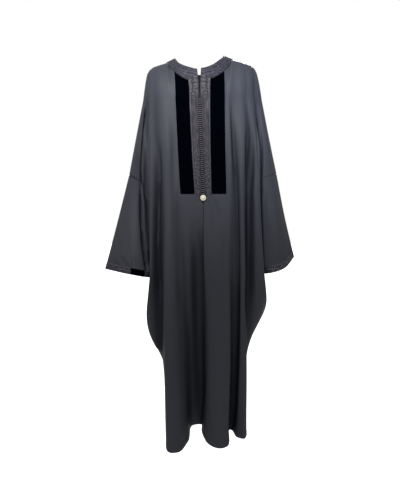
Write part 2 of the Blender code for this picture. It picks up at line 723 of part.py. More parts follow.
def knot_strip(fronts, material):
    """The row of knotted buttons that closes the placket, with its plain end at the point.

    Each row of the strip goes from its left foot over two knot points to its right foot, and the
    feet lie just above both fronts.
    """
    first, last = yoke_row(), placket_row()
    rows = []
    for row in range(first, last):
        end = 1.0
        if row == last - 1:
            end = (FRONT_ROWS_Z[-2] - PLACKET_Z) / (FRONT_ROWS_Z[-2] - PLACKET_POINT_Z)
        steps = [(end * (knot + place) / KNOTS_A_ROW, high) for knot in range(KNOTS_A_ROW)
                 for place, high in KNOT_STEPS]
        if row == first:
            steps[0] = (GAP / (FRONT_ROWS_Z[0] - FRONT_ROWS_Z[1]), False)
        if row == last - 1:
            steps += [(end, False), (1.0 - 2 * GAP, False)]
        rows += [strip_row(fronts, row, share, high) for share, high in steps]
    vertices = np.array(rows).reshape(-1, 3)
    faces = []
    for k in range(len(rows) - 1):
        for c in range(4):
            n = (c + 1) % 4
            faces.append((4 * k + c, 4 * k + 4 + c, 4 * k + 4 + n, 4 * k + n))
    faces.append((0, 1, 2, 3))
    faces.append(tuple(4 * (len(rows) - 1) + c for c in (3, 2, 1, 0)))
    return mesh_object("knot_row", vertices, faces, material)


def strip_row(fronts, row, share, high):
    """Four points of the knot strip at a share of the way from one panel row to the next."""
    height = KNOT_HEIGHT if high else KNOT_VALLEY
    feet, tops = [], []
    for sheet in fronts:
        places = sheet.points[row:row + 2, :2]
        ways = sheet.normals[row:row + 2, :2]
        low = places + ways * GAP
        raised = places + ways * (GAP + height)
        feet.append(low[0, 1] * (1 - share) + low[1, 1] * share)
        tops.append(raised[0, 0] * (1 - share) + raised[1, 0] * share)
    across_way = feet[1] - feet[0]
    across_way /= np.linalg.norm(across_way)
    middle = (tops[0] + tops[1]) / 2
    return [
        feet[0] + across_way * VELVET_INSET,
        middle - across_way * KNOT_WIDTH / 2,
        middle + across_way * KNOT_WIDTH / 2,
        feet[1] - across_way * VELVET_INSET,
    ]


def round_button(material):
    """The faceted dome button, its flat back just in front of the braid."""
    x, depth = centre_at(BUTTON_Z)
    base = -(depth + BRAID + 3 * GAP)
    profile = ((0.93, 0.00), (1.00, 0.22), (0.92, 0.62), (0.62, 0.90), (0.25, 1.00))
    vertices = []
    for ring, (radius, height) in enumerate(profile):
        twist = 0.5 * (ring % 2)
        for k in range(BUTTON_SIDES):
            turn = 2 * math.pi * (k + twist) / BUTTON_SIDES
            vertices.append((x + BUTTON_RADIUS * radius * math.cos(turn),
                             base - BUTTON_HEIGHT * height,
                             BUTTON_Z + BUTTON_RADIUS * radius * math.sin(turn)))
    faces = [tuple(range(BUTTON_SIDES))[::-1]]
    for ring in range(len(profile) - 1):
        a, b = ring * BUTTON_SIDES, (ring + 1) * BUTTON_SIDES
        for k in range(BUTTON_SIDES):
            n = (k + 1) % BUTTON_SIDES
            if ring % 2 == 0:
                faces.append((a + k, a + n, b + k))
                faces.append((a + n, b + n, b + k))
            else:
                faces.append((a + k, a + n, b + n))
                faces.append((a + k, b + n, b + k))
    top = (len(profile) - 1) * BUTTON_SIDES
    faces.append(tuple(top + k for k in range(BUTTON_SIDES)))
    return mesh_object("front_button", vertices, faces, material)


def cells_between(sheet, rows, columns):
    """The sheet's cells inside a range of rows and a range of columns."""
    chosen = np.zeros_like(sheet.cells)
    chosen[rows[0]:rows[1], columns[0]:columns[1]] = True
    return chosen & sheet.cells


def column_of(places, line):
    """Number of the column that lies on a fold line."""
    return min(range(len(places)), key=lambda k: abs(places[k] - line))


def build():
    """Makes every piece of the garment."""
    clear_scene()
    materials = {kind: finish_material(kind) for kind in FINISH}
    sides = (LEFT, RIGHT)
    names = ("left", "right")
    fronts, places = zip(*[sheet_from(side, False) for side in sides])
    back, middle = joined_back()
    sleeves, firsts, back_firsts = [], [], []
    for side, front, where in zip(sides, fronts, places):
        first = column_of(where, side.side_line)
        half_back, back_places = sheet_from(side, True)
        back_first = column_of(back_places, len(BACK) + 2)
        sleeves.append(sleeve_sheet(side, front, half_back.points, first, back_first))
        firsts.append(first)
        back_firsts.append(middle + side.sign * back_first)
    sheets = (*fronts, back, *sleeves)
    normals = shared_normals(sheets)
    for sheet in sheets:
        keep_normals(sheet, normals)
    part_seams(fronts, back, sleeves, firsts, back_firsts)

    for name, side, front, sleeve, where in zip(names, sides, fronts, sleeves, places):
        wall(f"front_{name}", front, -CLOTH, 0.0, materials["cloth"])
        wall(f"sleeve_{name}", sleeve, -CLOTH, 0.0, materials["cloth"])
        add_front_trims(name, front, where, materials)
        add_cuff_trims(name, sleeve, CUFF_VELVET[name], materials)
    wall("back", back, -CLOTH, 0.0, materials["cloth"])
    add_neck_band(back, middle, materials)
    knot_strip(fronts, materials["knot"])
    round_button(materials["button"])


def add_front_trims(name, front, places, materials):
    """The collar and placket braid and the velvet panel of one front."""
    braid, velvet = column_of(places, 2), column_of(places, 3)
    neck_end = column_of(places, NECK_LINES)
    band = cells_between(front, (0, BAND_STEPS), (0, neck_end))
    band |= cells_between(front, (BAND_STEPS, yoke_row()), (0, braid))
    band |= cells_between(front, (yoke_row(), placket_row()), (1, braid))
    wall(f"braid_{name}", front, GAP, GAP + BRAID, materials["braid"], band)
    panel = cells_between(front, (BAND_STEPS, placket_row()), (braid, velvet))
    wall(f"velvet_{name}", front, GAP, GAP + VELVET, materials["velvet"], panel, VELVET_INSET)


def add_neck_band(back, middle, materials):
    """The collar band round the back of the neck."""
    reach = column_of(places_along([line[1] for line in BACK]), len(NECK_BACK))
    band = cells_between(back, (0, BAND_STEPS), (middle - reach, middle + reach))
    wall("braid_neck_back", back, GAP, GAP + BRAID, materials["braid"], band)


def add_cuff_trims(name, sleeve, insert, materials):
    """The braid round one cuff and its velvet insert."""
    last = sleeve.cells.shape[0]
    velvet = cells_between(sleeve, (last - 1, last), insert)
    braid = cells_between(sleeve, (last - 1, last), (0, sleeve.cells.shape[1])) & ~velvet
    wall(f"cuff_braid_{name}", sleeve, GAP, GAP + BRAID, materials["braid"], braid)
    wall(f"cuff_velvet_{name}", sleeve, GAP, GAP + VELVET, materials["velvet"], velvet, VELVET_INSET)


build()
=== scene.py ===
"""Dresses the caftan: finer cloth with its creases, braid, velvet, knots, stitching and finishes.

The origin is the middle of the neck. The front faces -Y and +X is on the right of the viewer.
The cloth repeats the fold lines of the solids at a finer step, so each piece lies on its solid.
"""

import math

import bmesh
import bpy
import numpy as np
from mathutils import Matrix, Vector


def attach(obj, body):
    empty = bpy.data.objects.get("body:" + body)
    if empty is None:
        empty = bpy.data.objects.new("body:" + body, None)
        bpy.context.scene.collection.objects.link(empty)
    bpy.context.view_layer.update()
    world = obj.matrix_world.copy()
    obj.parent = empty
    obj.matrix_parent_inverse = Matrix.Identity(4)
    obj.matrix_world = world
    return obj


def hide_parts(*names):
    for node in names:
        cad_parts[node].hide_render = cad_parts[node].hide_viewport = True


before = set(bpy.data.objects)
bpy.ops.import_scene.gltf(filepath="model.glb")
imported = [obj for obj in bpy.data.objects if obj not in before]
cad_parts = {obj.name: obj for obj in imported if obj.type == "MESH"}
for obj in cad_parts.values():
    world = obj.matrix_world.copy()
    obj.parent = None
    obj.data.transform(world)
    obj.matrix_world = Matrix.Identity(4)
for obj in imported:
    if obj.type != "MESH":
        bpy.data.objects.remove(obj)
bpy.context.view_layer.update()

TINY = 1e-6
THREE_KNOTS = (0.0, 0.5, 1.0)

# Thickness of the cloth and heights of the trims above it, metres. Edges are shares of the height.
CLOTH = 0.0012
BRAID_LIFT = 0.0003
BRAID_HIGH = 0.0019
BRAID_EDGE = 0.35
BRAID_RIB = 0.00018
BRAID_RIBS = 5
EDGE_POWER = 10
MITRE_DIP = 0.0008
MITRE_WIDTH = 0.0016
VELVET_LIFT = 0.0003
VELVET_HIGH = 0.0015
VELVET_EDGE = 0.3
VELVET_POWER = 14

# Width of the trims where they are flat, metres
COLLAR_WIDE = 0.038
VELVET_WIDE = 0.050
CUFF_BAND = 0.027

# Heights below the neck, metres
YOKE_Z = -0.155
PLACKET_Z = -0.497
PLACKET_POINT_Z = -0.526
UNDERARM_Z = -0.600
TAPER_Z = -1.130
HEM_Z = -1.440

# Shape of the neck, slit and shoulders, metres. The last two are shares.
SLIT_LIP = 0.0015
PLACKET_HALF = 0.0050
CENTRE_RISE = 0.003
SEAM_CLEAR = 0.007
BAND_CROWN = 0.0015
DEPTH_EASE = 0.01
SHOULDER_ROUND = 0.35
STEEPEST = 0.98

# Row numbers down a body panel, and down a sleeve for the last one
BAND_ROW = 1
SLIT_SHUTS = 1.35
YOKE_ROW = 2
SLEEVE_END_ROW = 2

# Place numbers of fold lines out from the centre front, and how many places a change takes
SLIT_PLACE = 1
SLIT_EASE = 0.5
BRAID_PLACE = 2
TRIM_PLACES = 3.2
CLEAR_PLACES = 0.5

# Gap round a trim, as a share of a place or of the cuff's band
VELVET_INSET = 0.012
CUFF_VELVET_INSET = 0.02
CUFF_MARGIN = 0.02

# How finely the cloth and the trims are divided
FINE_ACROSS = 4
BAND_STEPS = 6
ROUNDING_STEPS = 14
ROW_STEP = 0.009
SLEEVE_ROWS = 44
CUFF_ROWS = (0.08, 0.25, 0.5, 0.75, 0.92, 1.0)
HEM_ROWS = (1.2, 1.0, 0.9, 0.5, 0.12, 0.0)
BRAID_ACROSS = 25
COLLAR_STEPS = 60
PLACKET_STEPS = 170
VELVET_ACROSS = 17
VELVET_STEPS = 90
CUFF_ACROSS = 13
CUFF_STEPS = 14
CREASE_STEPS = 10
SHARP_DEGREES = 50

# Seams and hem, metres. A hold is how far the creases take to reach their full height.
SEAM_ROLL = 0.004
SEAM_DIP = 0.0020
SEAM_HOLD = 0.030
SLEEVE_HOLD = 0.012
HEM_BAND = 0.024
HEM_STITCH = 0.0225

# How fast a crease grows from its ends, and on a sleeve from the armhole and the cuff
CREASE_FADE = 4.0
ARMHOLE_FADE = 6.0
CUFF_FADE = 2.0

# Height out of the hem band by its share of the way up from the edge
HEM_PROFILE = (
    (0.0, 0.0002), (0.12, 0.0007), (0.5, 0.0008), (0.9, 0.0005), (1.0, -0.0003), (1.2, 0.0),
)

# The velvet insert of each cuff, between two places round the sleeve
CUFF_VELVET = {"left": (2, 3), "right": (0, 1)}

# Knotted buttons of the placket, and the narrow dark strip behind them: painted shadow in the
# gaps between the knots
KNOT_COUNT = 48
KNOT_FIRST_Z = -0.1585
KNOT_LAST_Z = -0.4955
KNOT_HALF = 0.0050
KNOT_TALL = 0.0015
KNOT_DEEP = 0.0019
KNOT_LIFT = 0.0009
KNOT_BLUNT = 0.7
KNOT_SIDES = 12
KNOT_RINGS = 9
BED_TOP_Z = YOKE_Z - 0.001
BED_FOOT_Z = PLACKET_POINT_Z + 0.004
BED_LIFT = 0.0003
BED_BOW = 0.0006
BED_THICK = 0.0004
BED_WIDE = 0.01
BED_SHARE = 0.92
BED_ACROSS = 5

# The round button on the point of the placket. Profile columns: share of the radius, of the height.
BUTTON_Z = -0.510
BUTTON_RADIUS = 0.0105
BUTTON_HEIGHT = 0.0050
BUTTON_LIFT = 0.0025
BUTTON_SIDES = 56
BUTTON_PROFILE = (
    (0.90, 0.00), (0.97, 0.08), (1.00, 0.20), (0.99, 0.34), (0.94, 0.44), (0.88, 0.46),
    (0.84, 0.43), (0.80, 0.47), (0.68, 0.64), (0.52, 0.80), (0.34, 0.92), (0.16, 0.99),
    (0.04, 1.00),
)

# Long creases and ridges of each face. Columns: x and z of the start, middle and end, half width,
# height out of the cloth. Troughs have a height below zero.
CREASES = {
    "front": (
        (0.16, -0.1, 0.176, -0.3, 0.178, -0.519, 0.009, -0.004),
        (0.196, -0.06, 0.209, -0.24, 0.2185, -0.44, 0.004, -0.0085),
        (-0.188, -0.12, -0.2155, -0.4, -0.22, -0.59, 0.006, -0.014),
        (-0.152, -0.27, -0.1555, -0.631, -0.1555, -1.3, 0.01, -0.02),
        (0.17, -0.24, 0.177, -0.594, 0.179, -1.04, 0.007, -0.008),
        (0.18, -0.24, 0.189, -0.594, 0.187, -1.04, 0.014, -0.01),
        (-0.011, -0.56, -0.004, -1.009, 0.006, -1.44, 0.018, -0.024),
        (0.11, -0.12, 0.134, -0.54, 0.141, -0.96, 0.007, -0.01),
        (0.134, -0.76, 0.131, -1.13, 0.121, -1.49, 0.0105, -0.016),
        (0.141, -0.3, 0.158, -0.62, 0.167, -0.92, 0.006, 0.004),
        (-0.107, -0.18, -0.111, -0.52, -0.11, -0.9, 0.012, 0.0025),
        (0.0254, -1.307, 0.0342, -1.354, 0.0472, -1.412, 0.006, -0.004),
        (-0.06, -0.62, -0.05, -0.86, -0.036, -1.1, 0.012, -0.003),
        (0.036, -0.488, 0.056, -0.525, 0.076, -0.59, 0.005, -0.002),
        (0.09, -0.56, 0.088, -0.8, 0.083, -1.1, 0.012, -0.0018),
    ),
    "back": (
        (-0.15, -0.08, -0.175, -0.3, -0.17, -0.56, 0.008, -0.005),
        (0.165, -0.07, 0.185, -0.33, 0.178, -0.57, 0.009, -0.006),
        (-0.02, -0.15, -0.012, -0.42, -0.022, -0.7, 0.012, -0.0035),
        (0.05, -0.5, 0.062, -0.82, 0.054, -1.15, 0.011, -0.0035),
        (-0.098, -0.56, -0.104, -0.95, -0.096, -1.35, 0.011, -0.006),
        (0.112, -0.3, 0.118, -0.64, 0.11, -1.05, 0.01, 0.003),
    ),
    "left_front": (
        (-0.308, -0.64, -0.31, -0.7, -0.309, -0.752, 0.007, -0.0032),
        (-0.271, -0.6, -0.272, -0.68, -0.272, -0.748, 0.007, -0.003),
        (-0.219, -0.44, -0.2165, -0.64, -0.196, -0.83, 0.005, -0.011),
        (-0.207, -0.47, -0.2045, -0.64, -0.19, -0.83, 0.007, 0.0035),
        (-0.3057, -0.757, -0.294, -0.744, -0.2835, -0.734, 0.0035, 0.0026),
        (-0.2948, -0.762, -0.286, -0.748, -0.277, -0.732, 0.0035, 0.0026),
        (-0.2838, -0.768, -0.275, -0.754, -0.2669, -0.736, 0.0035, 0.0026),
        (-0.265, -0.772, -0.258, -0.758, -0.25, -0.742, 0.0035, 0.0022),
    ),
    "left_rear": (
        (-0.3, -0.65, -0.303, -0.7, -0.3, -0.752, 0.007, -0.003),
        (-0.24, -0.56, -0.235, -0.66, -0.238, -0.76, 0.008, -0.0044),
    ),
    "right_front": (
        (0.292, -0.56, 0.3, -0.64, 0.302, -0.72, 0.007, -0.003),
        (0.262, -0.6, 0.268, -0.68, 0.272, -0.75, 0.006, -0.0026),
        (0.234, -0.47, 0.24, -0.64, 0.248, -0.82, 0.008, 0.008),
        (0.262, -0.77, 0.27, -0.757, 0.281, -0.748, 0.004, -0.0022),
        (0.283, -0.764, 0.29, -0.75, 0.3, -0.741, 0.004, -0.0022),
    ),
    "right_rear": (
        (0.28, -0.56, 0.288, -0.64, 0.292, -0.73, 0.008, -0.0034),
    ),
}

# Painted shade: soft bands of each face, darker in colour where the cloth folds under its
# neighbour. Columns: x and z of the start, middle and end, half width, share of the colour
# that goes.
SHADES = {
    "front": (
        (-0.153, -0.28, -0.1555, -0.8, -0.154, -1.56, 0.0135, 0.6),
        (0.168, -0.14, 0.1712, -0.6, 0.178, -1.16, 0.007, 0.8),
        (0.178, -0.14, 0.186, -0.64, 0.186, -1.16, 0.013, 0.58),
        (0.106, -0.08, 0.133, -0.54, 0.139, -1.0, 0.007, 0.54),
        (0.126, -0.5, 0.128, -0.7, 0.128, -0.92, 0.014, 0.16),
        (0.139, -0.74, 0.133, -1.16, 0.113, -1.64, 0.0125, 0.72),
        (-0.01, -0.6, -0.006, -1.0, 0.002, -1.6, 0.016, 0.36),
        (0.008, -0.9, 0.006, -1.25, 0.004, -1.64, 0.0085, 0.7),
        (-0.046, -0.9, -0.045, -1.25, -0.044, -1.64, 0.012, 0.36),
        (0.036, -0.488, 0.056, -0.525, 0.076, -0.59, 0.0055, 0.22),
        (0.026, -0.5, 0.04, -0.56, 0.048, -0.66, 0.006, 0.14),
        (-0.084, -0.42, -0.083, -0.7, -0.08, -1.0, 0.011, 0.36),
        (-0.078, -0.78, -0.073, -1.0, -0.06, -1.32, 0.014, 0.26),
        (-0.178, -0.42, -0.176, -0.64, -0.172, -0.96, 0.012, 0.22),
        (-0.188, -0.74, -0.175, -0.93, -0.15, -1.22, 0.015, 0.42),
        (-0.192, -0.11, -0.218, -0.33, -0.2215, -0.56, 0.0055, 0.55),
        (-0.228, -0.33, -0.229, -0.43, -0.229, -0.54, 0.011, 0.3),
        (-0.16, -0.12, -0.157, -0.25, -0.153, -0.42, 0.01, 0.26),
    ),
    "back": (
        (0.14, -0.3, 0.142, -0.76, 0.14, -1.3, 0.014, 0.4),
        (-0.15, -0.25, -0.152, -0.64, -0.15, -1.05, 0.014, 0.4),
    ),
    "left_front": (
        (-0.2215, -0.36, -0.223, -0.6, -0.193, -0.88, 0.0055, 0.8),
        (-0.232, -0.36, -0.231, -0.62, -0.22, -0.88, 0.01, 0.25),
        (-0.211, -0.48, -0.209, -0.64, -0.1985, -0.82, 0.009, 0.24),
        (-0.1975, -0.705, -0.1965, -0.74, -0.1955, -0.775, 0.004, 0.95),
        (-0.31, -0.776, -0.302, -0.752, -0.295, -0.73, 0.003, 0.32),
        (-0.296, -0.779, -0.288, -0.754, -0.281, -0.731, 0.003, 0.32),
        (-0.28, -0.784, -0.272, -0.758, -0.265, -0.734, 0.003, 0.32),
        (-0.264, -0.79, -0.257, -0.762, -0.251, -0.724, 0.003, 0.36),
        (-0.248, -0.795, -0.243, -0.765, -0.239, -0.716, 0.0035, 0.3),
        (-0.324, -0.772, -0.316, -0.75, -0.31, -0.732, 0.003, 0.28),
    ),
    "right_front": (
        (0.242, -0.48, 0.246, -0.64, 0.248, -0.86, 0.014, 0.16),
    ),
    "left_cuff": (
        (-0.188, -0.79, -0.196, -0.815, -0.199, -0.84, 0.013, 0.85),
        (-0.4, -0.79, -0.3, -0.8, -0.2, -0.815, 0.03, 0.4),
    ),
    "right_cuff": (
        (0.23, -0.77, 0.25, -0.8, 0.252, -0.84, 0.016, 0.75),
    ),
}

# Painted shade of the seams, the slit and the inside of the cloth. Half width in metres, the
# armhole's in rows.
SEAM_SHADE = 0.45
SEAM_SHADE_WIDE = 0.0018
ARMHOLE_SHADE = {"left": 0.65, "right": 0.12}
ARMHOLE_ROWS = 0.02
SLIT_SHADE = 0.92
INSIDE_SHADE = 0.75

# Slight waves over all of the cloth. Columns: height out, width, length and start of one wave.
WAVES = ((0.0007, 0.061, 0.87, 0.10), (0.0005, 0.037, 0.59, 0.35))
WAVE_DRIFT = 2.0

# Colours of the cloth and trims, linear
CLOTH_DARK = (0.0268, 0.0280, 0.0342)
CLOTH_PALE = (0.0302, 0.0320, 0.0395)
CLOTH_SLUB = (0.0380, 0.0390, 0.0450)
STITCH_COLOUR = (0.010, 0.010, 0.012)
# Painted shade: the colour the cloth and cuff bands darken to in folds, seams, slit and inside
PAINTED_SHADE_COLOUR = (0.0006, 0.0010, 0.0038)
BRAID_PALE = (0.070, 0.065, 0.072)
BRAID_DARK = (0.013, 0.012, 0.016)
BRAID_LINE_AND_SHADOW = (0.010, 0.009, 0.013)
COLLAR_PALE = (0.050, 0.053, 0.071)
PIPING = (0.050, 0.047, 0.053)
CUFF_PALE = (0.140, 0.130, 0.148)
CUFF_DARK = (0.022, 0.020, 0.026)
VELVET_DARK = (0.0002, 0.0004, 0.0010)
VELVET_PALE = (0.0004, 0.0007, 0.0016)
KNOT_PALE = (0.240, 0.224, 0.238)
KNOT_DARK = (0.050, 0.046, 0.052)
# Painted shadow: the near-black strip behind the knots
SHADOW_BED_PALE = (0.004, 0.004, 0.005)
SHADOW_BED_DARK = (0.002, 0.002, 0.003)
BUTTON_PALE = (0.56, 0.52, 0.40)
BUTTON_DARK = (0.46, 0.42, 0.31)
FLOOR_COLOUR = (0.92, 0.92, 0.92)
WHITE = (1.0, 1.0, 1.0, 1.0)

# Running lines of each braid. Columns: metres across, half width, colour.
COLLAR_LINES = (
    (0.0012, 0.0040, BRAID_LINE_AND_SHADOW), (0.0105, 0.0026, BRAID_LINE_AND_SHADOW), (0.0190, 0.0024, BRAID_LINE_AND_SHADOW),
    (0.0275, 0.0026, BRAID_LINE_AND_SHADOW), (0.0365, 0.0036, BRAID_LINE_AND_SHADOW),
)
# The placket's first dark line, at its inner edge beside the knots, is painted shadow
PLACKET_LINES = (
    (0.0000, 0.0045, BRAID_LINE_AND_SHADOW), (0.0065, 0.0020, BRAID_LINE_AND_SHADOW), (0.0300, 0.0020, BRAID_LINE_AND_SHADOW),
    (0.0350, 0.0024, PIPING),
)
CUFF_LINES = (
    (0.0022, 0.0022, PIPING), (0.0070, 0.0022, BRAID_LINE_AND_SHADOW), (0.0180, 0.0020, BRAID_LINE_AND_SHADOW),
    (0.0235, 0.0020, PIPING),
)

# Braids. Columns: running lines, pale and dark colour, way of the ribs, share that the ribs darken.
BRAIDS = {
    "collar": (COLLAR_LINES, COLLAR_PALE, BRAID_DARK, "Y", 0.45),
    "placket": (PLACKET_LINES, BRAID_PALE, BRAID_DARK, "DIAGONAL", 0.70),
    "cuff": (CUFF_LINES, CUFF_PALE, CUFF_DARK, "Y", 0.70),
}

# Finish of each look: roughness and specular level
FINISHES = {
    "crepe": (0.52, 0.12),
    "braid": (0.62, 0.12),
    "velvet": (0.95, 0.0),
    "cord": (0.60, 0.15),
    "bed": (0.60, 0.0),
    "button": (0.30, 0.5),
    "floor": (0.9, 0.1),
}

# Cloudy patterns. Columns: scale, stretch in each direction, detail.
PLAIN = (1.0, 1.0, 1.0)
CLOUDS = {
    "cloth": (9.0, (1.0, 1.0, 0.3), 3.0),
    "slub": (900.0, (1.0, 0.25, 1.0), 2.0),
    "mottle": (140.0, (1.0, 0.8, 1.0), 5.0),
    "nap": (1400.0, PLAIN, 2.0),
    "brushed": (16.0, (1.0, 1.0, 0.35), 3.0),
    "cord": (300.0, PLAIN, 3.0),
    "worn": (260.0, PLAIN, 3.0),
}

# Patterns of parallel lines. Columns: scale, stretch in each direction, way they run, wobble.
# The ribs of a braid take their way from its own row.
STRIPES = {
    "weft": (520.0, PLAIN, "Y", 0.6),
    "warp": (520.0, PLAIN, "DIAGONAL", 0.6),
    "stitch": (70.0, (1.0, 0.0, 0.0), "X", 0.0),
    "cross": (180.0, PLAIN, "DIAGONAL", 1.5),
    "wound": (420.0, PLAIN, "X", 1.0),
}
RIBS = (46.0, PLAIN)
RIB_WOBBLE = 1.6
STRIPE_DETAIL = 1.0

# Bump of each pattern: strength and height in metres
BUMPS = {
    "weave": (0.12, 0.00012),
    "slub": (0.10, 0.0002),
    "stitch": (0.5, 0.0003),
    "ribs": (0.6, 0.0004),
    "mottle": (0.5, 0.0008),
    "piping": (0.5, 0.0003),
    "nap": (0.25, 0.0004),
    "brushed": (0.15, 0.001),
    "wound": (0.6, 0.0004),
    "cord": (0.3, 0.0004),
    "worn": (0.1, 0.0003),
}

# Sheen of the fibres: weight, roughness and tint
BRAID_SHEEN = (0.02, 0.4, (0.9, 0.9, 1.0))
VELVET_SHEEN = (0.002, 0.30, (0.55, 0.68, 1.0))

# Smooth steps: two values of a pattern, each with what it turns into
CLOTH_ROUGH = ((0.2, 0.50), (0.8, 0.60))
BUTTON_ROUGH = ((0.3, 0.26), (0.7, 0.42))
STITCH_DASH = ((0.35, 0.0), (0.55, 1.0))
MOTTLE_STEP = ((0.38, 0.0), (0.62, 1.0))

# Half width of the stitching in metres, and shares of a colour that a pattern lays over another
STITCH_WIDE = 0.0009
SLUB_SHARE = 0.35
CROSS_SHARE = 0.20
LINE_SHARE = 0.9

# Floor, surround, lamps and camera. Lamp columns: name, kind, place, aim, size or softness, cone in
# degrees, strength and colour.
FLOOR_Z = -1.60
FLOOR_SIZE = 14.0
FLOOR_GLOW = 0.95
WORLD_SEEN = 1.0
WORLD_FILL = 0.60
DAYLIGHT = (0.97, 0.99, 1.03)
WARM = (1.02, 0.99, 0.94)
COOL = (0.88, 0.96, 1.22)
BLUE = (0.72, 0.93, 1.42)
LAMPS = (
    ("fill_front", "SUN", (0.0, -3.0, 0.4), (0.0, 0.0, -0.5), 0.9, 0.0, 0.45, DAYLIGHT),
    ("fill_rear", "SUN", (0.0, 3.0, 0.4), (0.0, 0.0, -0.5), 0.9, 0.0, 0.45, DAYLIGHT),
    ("key_front", "SPOT", (-0.35, -1.5, 0.55), (0.0, 0.0, 0.04), 0.25, 44.0, 235.0, WARM),
    ("key_rear", "SPOT", (0.35, 1.5, 0.55), (0.0, 0.0, 0.04), 0.25, 46.0, 235.0, WARM),
    ("shoulder_left", "SPOT", (-0.9, -1.2, 0.7), (-0.18, 0.0, -0.14), 0.25, 20.0, 58.0, BLUE),
    ("shoulder_right", "SPOT", (0.9, -1.2, 0.7), (0.19, 0.0, -0.14), 0.25, 20.0, 100.0, BLUE),
    ("left_sleeve", "SPOT", (-0.45, -2.2, 0.0), (-0.30, 0.0, -0.62), 0.20, 16.0, 160.0, DAYLIGHT),
    ("right_sleeve", "SPOT", (0.45, -2.2, 0.0), (0.27, 0.0, -0.46), 0.20, 17.0, 85.0, COOL),
)
CAMERA_PLACE = (0.0, -2.8, -0.33)
CAMERA_TILT = 7.89
CAMERA_LENS = 53.2
CAMERA_SENSOR = 36.0

# Centre line of the front: height, place to the right, depth
CENTRE = (
    (YOKE_Z, -0.0014, 0.105),
    (-0.325, 0.0047, 0.112),
    (PLACKET_Z, 0.0112, 0.118),
    (-0.79, 0.0147, 0.118),
    (-0.98, 0.0205, 0.111),
    (-1.13, 0.0222, 0.105),
    (HEM_Z, 0.017, 0.096),
)

# Fold lines of the left front. Columns: name, cells up to the next line, then how far out it lies
# at the yoke, chest, placket end, cuff, wing, taper and hem, and last its rise at the hem.
LEFT_HEIGHTS = (YOKE_Z, -0.325, PLACKET_Z, -0.79, -1.01, -1.165, HEM_Z)
LEFT_OUT = (
    ("knots", 2, 0.0064, 0.0003, -0.0062, -0.01, -0.012, -0.0125, -0.006, 0.02),
    ("braid", 2, 0.0375, 0.0299, 0.019, 0.002, -0.002, -0.004, -0.006, 0.03),
    ("velvet", 4, 0.0888, 0.0811, 0.0714, 0.036, 0.032, 0.029, 0.026, 0.028),
    ("inner", 2, 0.108, 0.1, 0.094, 0.069, 0.067, 0.064, 0.046, -0.01),
    ("crest", 2, 0.13, 0.118, 0.113, 0.104, 0.102, 0.1, 0.085, -0.036),
    ("edge", 1, 0.148, 0.134, 0.129, 0.13, 0.13, 0.129, 0.119, -0.033),
    ("step", 1, 0.16, 0.146, 0.135, 0.136, 0.1355, 0.1345, 0.129, -0.028),
    ("trough", 2, 0.172, 0.162, 0.15, 0.152, 0.156, 0.139, 0.128, -0.015),
    ("wing", 1, 0.188, 0.187, 0.186, 0.187, 0.1985, 0.14, 0.123, -0.008),
    ("tuck", 2, 0.192, 0.179, 0.176, 0.17, 0.2025, 0.142, 0.119, 0.0),
)
# The same lines and heights: how deep in front of the shoulder line each one lies.
LEFT_DEPTH = (
    ("knots", 0.105, 0.112, 0.118, 0.104, 0.088, 0.078, 0.056),
    ("braid", 0.104, 0.111, 0.117, 0.086, 0.07, 0.055, 0.014),
    ("velvet", 0.1, 0.11, 0.116, 0.09, 0.074, 0.058, 0.014),
    ("inner", 0.098, 0.111, 0.118, 0.112, 0.109, 0.104, 0.086),
    ("crest", 0.094, 0.115, 0.122, 0.127, 0.13, 0.132, 0.13),
    ("edge", 0.087, 0.112, 0.119, 0.124, 0.129, 0.131, 0.133),
    ("step", 0.08, 0.104, 0.107, 0.1, 0.101, 0.104, 0.116),
    ("trough", 0.071, 0.093, 0.094, 0.08, 0.072, 0.08, 0.084),
    ("wing", 0.057, 0.08, 0.085, 0.083, 0.044, 0.044, 0.052),
    ("tuck", 0.046, 0.056, 0.058, 0.052, 0.02, 0.02, 0.024),
)
LEFT_SIDE = (
    (UNDERARM_Z, 0.152),
    (-0.79, 0.142),
    (-1.01, 0.204),
    (-1.165, 0.141),
    (HEM_Z, 0.117),
)

# Fold lines of the right front, with the same columns.
RIGHT_HEIGHTS = (YOKE_Z, -0.325, PLACKET_Z, -0.79, -0.885, -1.1, HEM_Z)
RIGHT_OUT = (
    ("knots", 1, 0.0036, 0.0097, 0.0162, 0.024, 0.027, 0.03, 0.0285, -0.006),
    ("braid", 1, 0.0358, 0.0375, 0.0413, 0.05, 0.052, 0.055, 0.055, -0.017),
    ("velvet", 4, 0.0898, 0.0919, 0.096, 0.08, 0.082, 0.086, 0.085, -0.019),
    ("ridge", 2, 0.104, 0.105, 0.106, 0.104, 0.106, 0.109, 0.106, -0.016),
    ("valley", 2, 0.1217, 0.124, 0.125, 0.125, 0.124, 0.126, 0.117, 0.02),
    ("rise", 2, 0.15, 0.152, 0.15, 0.153, 0.152, 0.152, 0.145, 0.003),
    ("edge", 1, 0.163, 0.178, 0.168, 0.167, 0.169, 0.1715, 0.1715, 0.002),
    ("crease", 2, 0.169, 0.188, 0.176, 0.1725, 0.175, 0.176, 0.18, 0.009),
    ("swell", 1, 0.186, 0.203, 0.197, 0.208, 0.215, 0.18, 0.1785, 0.009),
    ("wing", 1, 0.201, 0.2185, 0.2215, 0.24, 0.25, 0.1825, 0.172, 0.008),
    ("tuck", 2, 0.206, 0.211, 0.211, 0.214, 0.2535, 0.1825, 0.168, 0.006),
)
